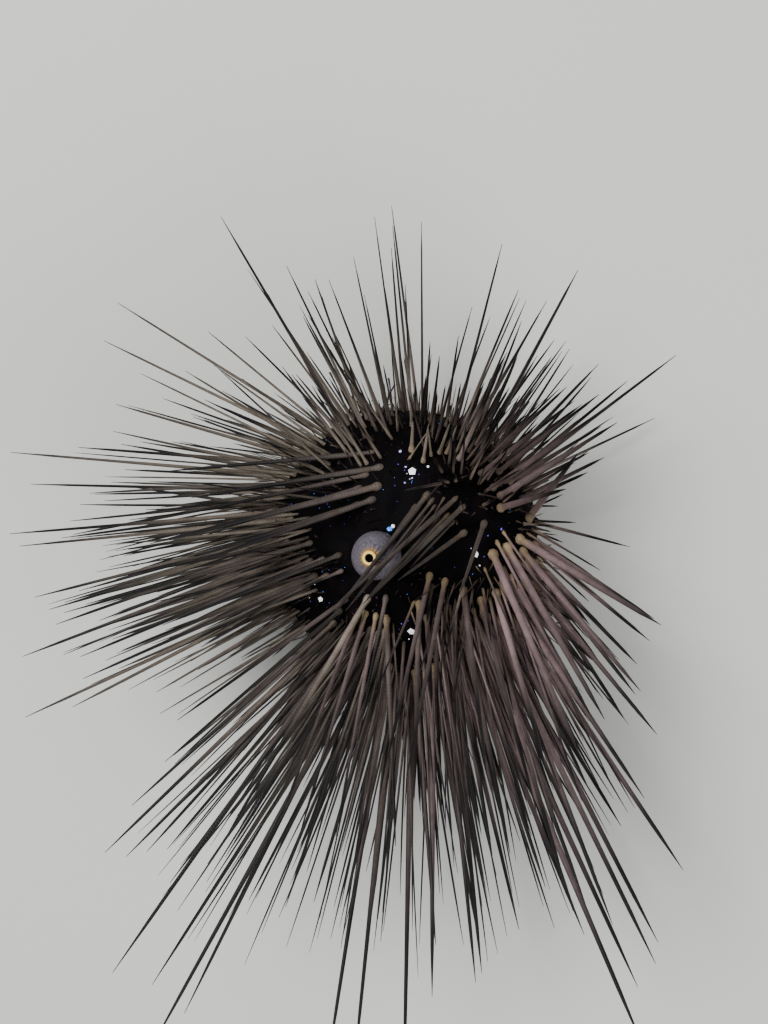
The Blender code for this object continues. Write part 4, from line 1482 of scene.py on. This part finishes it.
def plateSpot(azimuth, radius, reach, turn):
    azimuth += turn
    out = direction(azimuth, 0)
    centre = radius * out + np.array([0, 0, discHeight(radius, azimuth)])
    normal = unit(out * disc["spotLean"] + np.array([0, 0, 1.0]))
    return domeOf(centre, normal, [reach] * disc["spotCorners"], disc["spotRise"], azimuth, 0.0)


def makeDisc():
    radii = np.linspace(disc["inner"], disc["outer"], disc["steps"] + 1)
    rows = [lambda azimuth, radius=radius: (radius, discHeight(radius, azimuth)) for radius in radii]
    sheetOfTurns("discSkin", rows, disc["turns"], skinMaterial,
                 lambda azimuth, share: bakePlace(azimuth, disc["bakeFrom"] * (1 - share)), "apical_disc")
    # one genital plate shows a blue spot and a white one side by side, the others a faint blue one
    first, *others = [wideMiddle(pair) for pair in range(shell["pairs"])]
    blue = [plateSpot(first, *disc["firstBlueSpot"])]
    blue += [plateSpot(middle, *disc["blueSpot"]) for middle in others]
    makeDomes("plateBlueSpots", blue, blueMaterial)
    white = [plateSpot(first, *disc["firstWhiteSpot"])]
    makeDomes("plateWhiteSpot", white, whiteMaterial)


# Anal cone: a blown-up bag with a fleshy lip round its vent

coneForm = {
    "turns": 120,
    "rows": 56,
    "swell": ((2, 0.7, 0.012), (3, 2.1, 0.008)),  # how many waves round it, where they start, how deep
    "widest": 1.015,
    "folds": 17,
    "foldDepth": 0.12 * mm,
    "foldReach": 0.5,
    # share of the vent seat's radius and depth in mm of the rows down the throat
    "throat": ((0.9, 0.1), (0.6, 0.5), (0.45, 1.6), (0.42, 2.8)),
    "footShade": ((0, 1), (8, 0.75), (16, 0)),  # painted shade, by the row from the foot
    "glowReach": 1.3 * mm,  # how far the amber spreads from the lip over the bag
    "glow": 0.7,
    "bakeReach": 0.3,
}


def makeCone():
    low = -math.acos(cone["neck"] / cone["radius"])
    high = math.acos(cone["ventSeat"] / cone["radius"])
    turns, rows = coneForm["turns"], coneForm["rows"]
    heights = [low + (high - low) * row / rows for row in range(rows + 1)]
    (waves, start, depth), (moreWaves, moreStart, moreDepth) = coneForm["swell"]

    def bag(azimuth, height):
        # a little out of round, with shallow folds at the foot and near the vent
        swell = 1 + depth * math.sin(waves * azimuth + start)
        swell += moreDepth * math.sin(moreWaves * azimuth + moreStart + height)
        nearEnd = sum(max(0.0, 1 - abs(end - height) / coneForm["foldReach"]) for end in (high, low))
        fold = coneForm["foldDepth"] * nearEnd * (1 + math.cos(coneForm["folds"] * azimuth))
        radius = min(cone["radius"] * swell - fold, cone["radius"] * coneForm["widest"])
        return radius * math.cos(height), coneMiddle + radius * math.sin(height)

    rowsOf = [lambda azimuth, height=height: bag(azimuth, height) for height in heights]
    for reach, drop in coneForm["throat"]:
        rowsOf.append(lambda azimuth, reach=reach, drop=drop: (reach * cone["ventSeat"], coneTop - drop * mm))
    piece = sheetOfTurns("coneBag", rowsOf, turns, coneMaterial,
                         lambda azimuth, share: bakePlace(azimuth, -1 + coneForm["bakeReach"] * (1 - share)),
                         "anal_cone")
    shade = [byShare(coneForm["footShade"], row) for row in range(len(rowsOf))]
    aways = [cone["radius"] * (high - angle) for angle in heights + [high] * len(coneForm["throat"])]
    amber = [max(0.0, 1 - away / coneForm["glowReach"]) * coneForm["glow"] for away in aways]
    down = len(heights) + 1
    # the rows down the throat are all painted shade
    shade[down:] = [1.0] * (len(rowsOf) - down)
    amber[down:] = [0.0] * (len(rowsOf) - down)
    setAttribute(piece, "footShade", np.tile(shade, turns))
    setAttribute(piece, "amber", np.tile(amber, turns))


lipForm = {
    "turns": 96,
    "rings": 22,
    "lobes": 19,
    "lobeDepth": 0.05,
    "unevenLobes": 3,
    "unevenness": 0.4,
    "seat": 0.18 * mm,
    "plump": 0.92,
    "darkBelow": -0.2,  # sine of the turn below which its under side is dark within, as painted shade, and plain without
    "bakeReach": (0.012, 0.004),
}


def makeVentLip():
    # a soft round ring whose inner edge rolls down into the vent
    turns, rings = lipForm["turns"], lipForm["rings"]
    middle = (cone["ringRadius"] + cone["ventRadius"]) / 2
    half = (cone["ringRadius"] - cone["ventRadius"]) / 2
    points, faces, across, places = [], [], [], []
    reach, more = lipForm["bakeReach"]
    for turn in range(turns):
        azimuth = math.tau * turn / turns
        uneven = lipForm["unevenness"] * (math.sin(lipForm["unevenLobes"] * azimuth) - 1)
        lobe = 1 + lipForm["lobeDepth"] * math.sin(lipForm["lobes"] * azimuth) * (1 + uneven)
        for ring in range(rings):
            angle = math.tau * ring / rings
            out, up = math.cos(angle), math.sin(angle)
            radius = middle + half * lobe * out
            height = coneTop + lipForm["seat"] + cone["ringHeight"] * lipForm["plump"] * lobe * up
            points.append((radius * math.cos(azimuth), radius * math.sin(azimuth), height))
            if up >= lipForm["darkBelow"]:
                across.append(0.5 + 0.5 * out)
            else:
                across.append(0.05 if out < 0 else 1)
            here, after = turn * rings, (turn + 1) % turns * rings
            above = (ring + 1) % rings
            faces.append((here + ring, after + ring, after + above, here + above))
            for t, r in ((turn, ring), (turn + 1, ring), (turn + 1, ring + 1), (turn, ring + 1)):
                away, around = reach + more * r / rings, math.tau * t / turns
                places.append((0.5 + away * math.cos(around), 0.5 + away * math.sin(around)))
    piece = meshPiece("ventRing", points, faces, lipMaterial)
    setAttribute(piece, "across", across)
    setBakeMap(piece, places)
    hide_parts("anal_ring")


makeDisc()
makeCone()
makeVentLip()
print("disc, cone and vent made")


# Underside: skin round the mouth with its ten buccal feet, and the tip of the jaws

mouthForm = {
    "turns": 300,
    "rows": 46,
    # radius and height over the shell's rim, in mm, from the rim in to the top of the jaws
    "outline": (
        (12.9, 1.3), (12.7, 0.5), (12.2, 0.05), (11.2, 0.2), (10.0, 0.42), (8.4, 0.6), (7.0, 0.1),
        (6.0, -0.65), (5.4, -1.2), (4.9, -1.25), (4.5, -0.9), (4.3, 0.2), (4.25, 2.0), (4.25, 3.2),
    ),
    "level": (4.4, 2.5, 12.7, 1.5),  # the folds grow from the first radius outwards, from the third inwards
    # depth in mm, how many, how far they waver and how often: folds from the rim in, creases round the mouth
    "folds": (0.13, 60, 0.6, 5),
    "creases": (0.1, 6, 0.8, 7),
    "footSeat": 0.5 * mm,
    "footLength": 1.7 * mm,
    "suckerAt": 1.45 * mm,
    "suckerRadius": 0.72 * mm,
    "suckerRise": 0.5 * mm,
    "footCorners": 16,
    "bakeFrom": 1.01,
    "bakeReach": 0.12,
    "footBake": 1.06,
}


def makeMouth():
    rimZ = onMeridian(1)[1]
    rows = mouthForm["rows"]
    reach = np.linspace(0, len(mouthForm["outline"]) - 1, rows)
    radii, heights = (
        np.interp(reach, range(len(values)), values) for values in zip(*mouthForm["outline"]))
    inner, innerReach, outer, outerReach = mouthForm["level"]

    def row(radius, height):
        wide = held((radius - inner) / innerReach) * held((outer - radius) / outerReach)

        def ripple(depth, count, waver, waves, along, azimuth):
            return depth * wide * math.sin(count * along + waver * math.sin(waves * azimuth))

        def at(azimuth):
            fold = ripple(*mouthForm["folds"], azimuth, azimuth)
            crease = ripple(*mouthForm["creases"], radius, azimuth)
            return radius * mm, rimZ + (height + fold + crease) * mm
        return at

    piece = sheetOfTurns(
        "mouthSkin", [row(*place) for place in zip(radii, heights)], mouthForm["turns"], mouthMaterial,
        lambda azimuth, share: bakePlace(azimuth, mouthForm["bakeFrom"] + mouthForm["bakeReach"] * share),
        "peristome")
    piece.data.flip_normals()
    feet, suckers = [], []
    down = np.array([0, 0, -1.0])
    foot, sucker = (
        [radius] * mouthForm["footCorners"] for radius in (mouth["buccalRadius"], mouthForm["suckerRadius"]))
    for pair in range(shell["pairs"]):
        for side in (-1, 1):
            azimuth = wideMiddle(pair + 0.5) + mouth["buccalTurn"] * side
            centre = mouth["buccalRing"] * direction(azimuth, 0)
            centre[2] = rimZ + mouthForm["footSeat"]
            home = azimuth, mouthForm["footBake"]
            feet.append(domeOf(centre, down, foot, mouthForm["footLength"], *home))
            tip = centre + mouthForm["suckerAt"] * down
            suckers.append(domeOf(tip, down, sucker, mouthForm["suckerRise"], *home))
    makeDomes("buccalFeet", feet + suckers, mouthMaterial)


jawForm = {
    # distance from the axis, half width and half depth in mm, and share of the way down
    "levels": (
        (2.0, 1.75, 1.75, 0), (2.0, 1.7, 1.7, 0.45), (1.95, 1.55, 1.5, 0.72), (1.8, 1.25, 1.15, 0.88),
        (1.65, 0.75, 0.7, 0.97), (1.6, 0.1, 0.1, 1.0),
    ),
    "sides": 16,
    "toothLevels": 12,
    "toothSection": (
        (-1, -0.5), (-0.5, -0.9), (0, -1), (0.5, -0.9), (1, -0.5), (0.7, 0.5), (0, 1.1), (-0.7, 0.5),
    ),
    "toothWidth": (0.78, 0.6, 1.5),  # half width in mm, the share it loses and how late
    "toothDepth": (0.42, 0.45, 1),
    "toothAway": (2.2, 0.74, 1.6),
    "toothBelow": 1.4 * mm,
    "toothLength": 4.1 * mm,
    "bake": (0.97, 0.01),
}


def ringFaces(first, levels, sides, inward):
    # faces between rings of points, and one that closes the last ring
    faces = []
    for level in range(levels):
        low, high = first + level * sides, first + (level + 1) * sides
        for step in range(sides):
            after = (step + 1) % sides
            if inward:
                faces.append((low + step, low + after, high + after, high + step))
            else:
                faces.append((low + step, high + step, high + after, low + after))
    return faces + [tuple(first + levels * sides + step for step in range(sides))]


def makeJaws():
    # five rounded jaws round the axis, each with a curved tooth that is ridged down its back
    rimZ = onMeridian(1)[1]
    tipZ, topZ = rimZ - mouth["lipDrop"], rimZ + mouth["depth"] - shell["gap"]
    gums, gumFaces, teeth, toothFaces = [], [], [], []
    sides, levels = jawForm["sides"], jawForm["toothLevels"]

    def lessening(key, share):
        start, lost, power = jawForm[key]
        return start * (1 - lost * share**power)

    for pair in range(shell["pairs"]):
        out = direction(wideMiddle(pair), 0)
        along = np.cross([0, 0, 1.0], out)
        gumFaces += ringFaces(len(gums), len(jawForm["levels"]) - 1, sides, False)
        for away, wide, deep, down in jawForm["levels"]:
            height = np.array([0, 0, topZ - (topZ - tipZ) * down])
            for step in range(sides):
                turn = math.tau * step / sides
                sideways = along * wide * mm * math.sin(turn)
                gums.append(out * (away + deep * math.cos(turn)) * mm + sideways + height)
        toothFaces += ringFaces(len(teeth), levels, len(jawForm["toothSection"]), True)
        for level in range(levels + 1):
            share = level / levels
            wide, deep = lessening("toothWidth", share), lessening("toothDepth", share)
            centre = out * lessening("toothAway", share) * mm
            centre[2] = tipZ + jawForm["toothBelow"] - jawForm["toothLength"] * share
            for x, y in jawForm["toothSection"]:
                teeth.append(centre + along * wide * x * mm + out * deep * y * mm)
    middle, reach = jawForm["bake"]
    for name, points, faces, material in (("jawTips", gums, gumFaces, gumMaterial),
                                          ("jawTeeth", teeth, toothFaces, toothMaterial)):
        piece = meshPiece(name, points, faces, material)
        turns = np.linspace(0, math.tau, sum(len(face) for face in faces))
        setBakeMap(piece, np.stack([middle + reach * np.cos(turns), middle + reach * np.sin(turns)], axis=1))
    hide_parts("lantern")


makeMouth()
makeJaws()
print("mouth made")


# Tube feet: soft dark stalks with a sucker, in the narrow zones between the spines

tubeFeet = {
    "seed": 21,
    "rowSpacing": 3.1 * mm,
    "rowJitter": 0.2,
    "sideways": (3.9 * mm, 5.6 * mm),
    "fromEdge": 0.8 * mm,
    "share": 0.7,
    "longestByRow": ((0, 1.5), (0.25, 3), (0.5, 11), (0.75, 13), (0.85, 9), (1, 8)),
    "lengthShares": (0.5, 1),
    "radius": 0.27 * mm,
    "form": ((0, 1.3), (0.15, 1.0), (0.85, 0.72), (0.9, 0.85), (0.97, 1.6), (1, 1.3)),
    "sides": 7,
    "rings": 12,
    "rootDepth": 0.5 * mm,
    "wobble": 0.3,
    "bend": 0.35,
}


def makeTubeFeet():
    draw = random.Random(tubeFeet["seed"])
    jitter, sunk = tubeFeet["rowJitter"], tubeFeet["rootDepth"]
    rows = int(meridianLength / tubeFeet["rowSpacing"])
    grown = []
    for pair in range(shell["pairs"]):
        for row in range(1, rows):
            for side in (-1, 1):
                if draw.random() > tubeFeet["share"]:
                    continue
                share = (row + draw.uniform(-jitter, jitter)) / rows
                radius, _ = onMeridian(share)
                half = radius * shell["narrowAngle"] / 2 - tubeFeet["fromEdge"]
                azimuth = wideMiddle(pair + 0.5)
                azimuth += side * min(half, draw.uniform(*tubeFeet["sideways"])) / radius
                foot, normal = shellPlace(azimuth, share)
                way = unit(normal + gaussVector(draw, tubeFeet["wobble"]))
                longest = byShare(tubeFeet["longestByRow"], share) * mm
                length = longest * draw.uniform(*tubeFeet["lengthShares"])
                bend = gaussVector(draw, 1) * tubeFeet["bend"] * length
                grown.append({"start": foot - sunk * normal, "way": way, "length": length, "bend": bend,
                              "azimuth": azimuth, "share": share, "emerge": sunk})
    shares = np.linspace(0, 1, tubeFeet["rings"])
    stations = np.array([foot["length"] * shares for foot in grown])
    form = np.interp(shares, *zip(*tubeFeet["form"]))
    widths = np.tile(tubeFeet["radius"] * form, (len(grown), 1))
    tubeMesh("tubeFeet", grown, tubeFeet["sides"], stations, widths, footMaterial)
    print(f"tubeFeet: {len(grown)}")


makeTubeFeet()


# Camera, floor and light

def makeCamera():
    right, up, back = [Vector(axis) for axis in viewAxes()]
    sideways, upwards = view["aimOffset"]
    aim = Vector((axisX, axisY, view["aimHeight"])) + sideways * right + upwards * up
    data = bpy.data.cameras.new("photoCamera")
    data.lens = view["lens"]
    data.sensor_width = 36
    data.clip_start = 0.01
    camera = bpy.data.objects.new("photoCamera", data)
    camera.matrix_world = Matrix.LocRotScale(
        aim + view["distance"] * back, Matrix((right, up, back)).transposed().to_quaternion(), None)
    bpy.context.scene.collection.objects.link(camera)
    bpy.context.scene.camera = camera


studio = {
    "paper": "#c9c9c5",
    "paperHalf": 3,  # half its width in metres
    "paperRoughness": 0.9,
    "sky": "#e8ecf0",
    "skyStrength": 0.4,
    "aim": (0, 0, 0.03),
    # place, width and power of each lamp
    "lamps": {
        "overheadKey": ((-0.35, 0.45, 0.95), 0.8, 17),
        "lowerRightFill": ((0.7, -0.6, 0.6), 0.6, 9),
    },
}


def areaLight(name, place, size, power):
    data = bpy.data.lights.new(name, "AREA")
    data.shape = "DISK"
    data.size = size
    data.energy = power
    lamp = bpy.data.objects.new(name, data)
    lamp.location = place
    lamp.rotation_mode = "QUATERNION"
    lamp.rotation_quaternion = (Vector(studio["aim"]) - Vector(place)).to_track_quat("-Z", "Y")
    bpy.context.scene.collection.objects.link(lamp)


def makeStage():
    builder = bmesh.new()
    bmesh.ops.create_grid(builder, x_segments=1, y_segments=1, size=studio["paperHalf"])
    mesh = bpy.data.meshes.new("paperFloor")
    builder.to_mesh(mesh)
    builder.free()
    floor = bpy.data.objects.new("paperFloor", mesh)
    floor.location.z = -0.05 * mm
    bpy.context.scene.collection.objects.link(floor)
    material, _, shader = newMaterial("seamlessPaper")
    setSockets(shader, {
        "Base Color": linearColour(studio["paper"]), "Roughness": studio["paperRoughness"]})
    mesh.materials.append(material)
    world = bpy.data.worlds.new("studio")
    world.use_nodes = True
    sky = world.node_tree.nodes["Background"]
    setSockets(sky, {"Color": linearColour(studio["sky"]), "Strength": studio["skyStrength"]})
    bpy.context.scene.world = world
    for name, (place, size, power) in studio["lamps"].items():
        areaLight(name, place, size, power)


makeCamera()
makeStage()
print("camera and stage set")
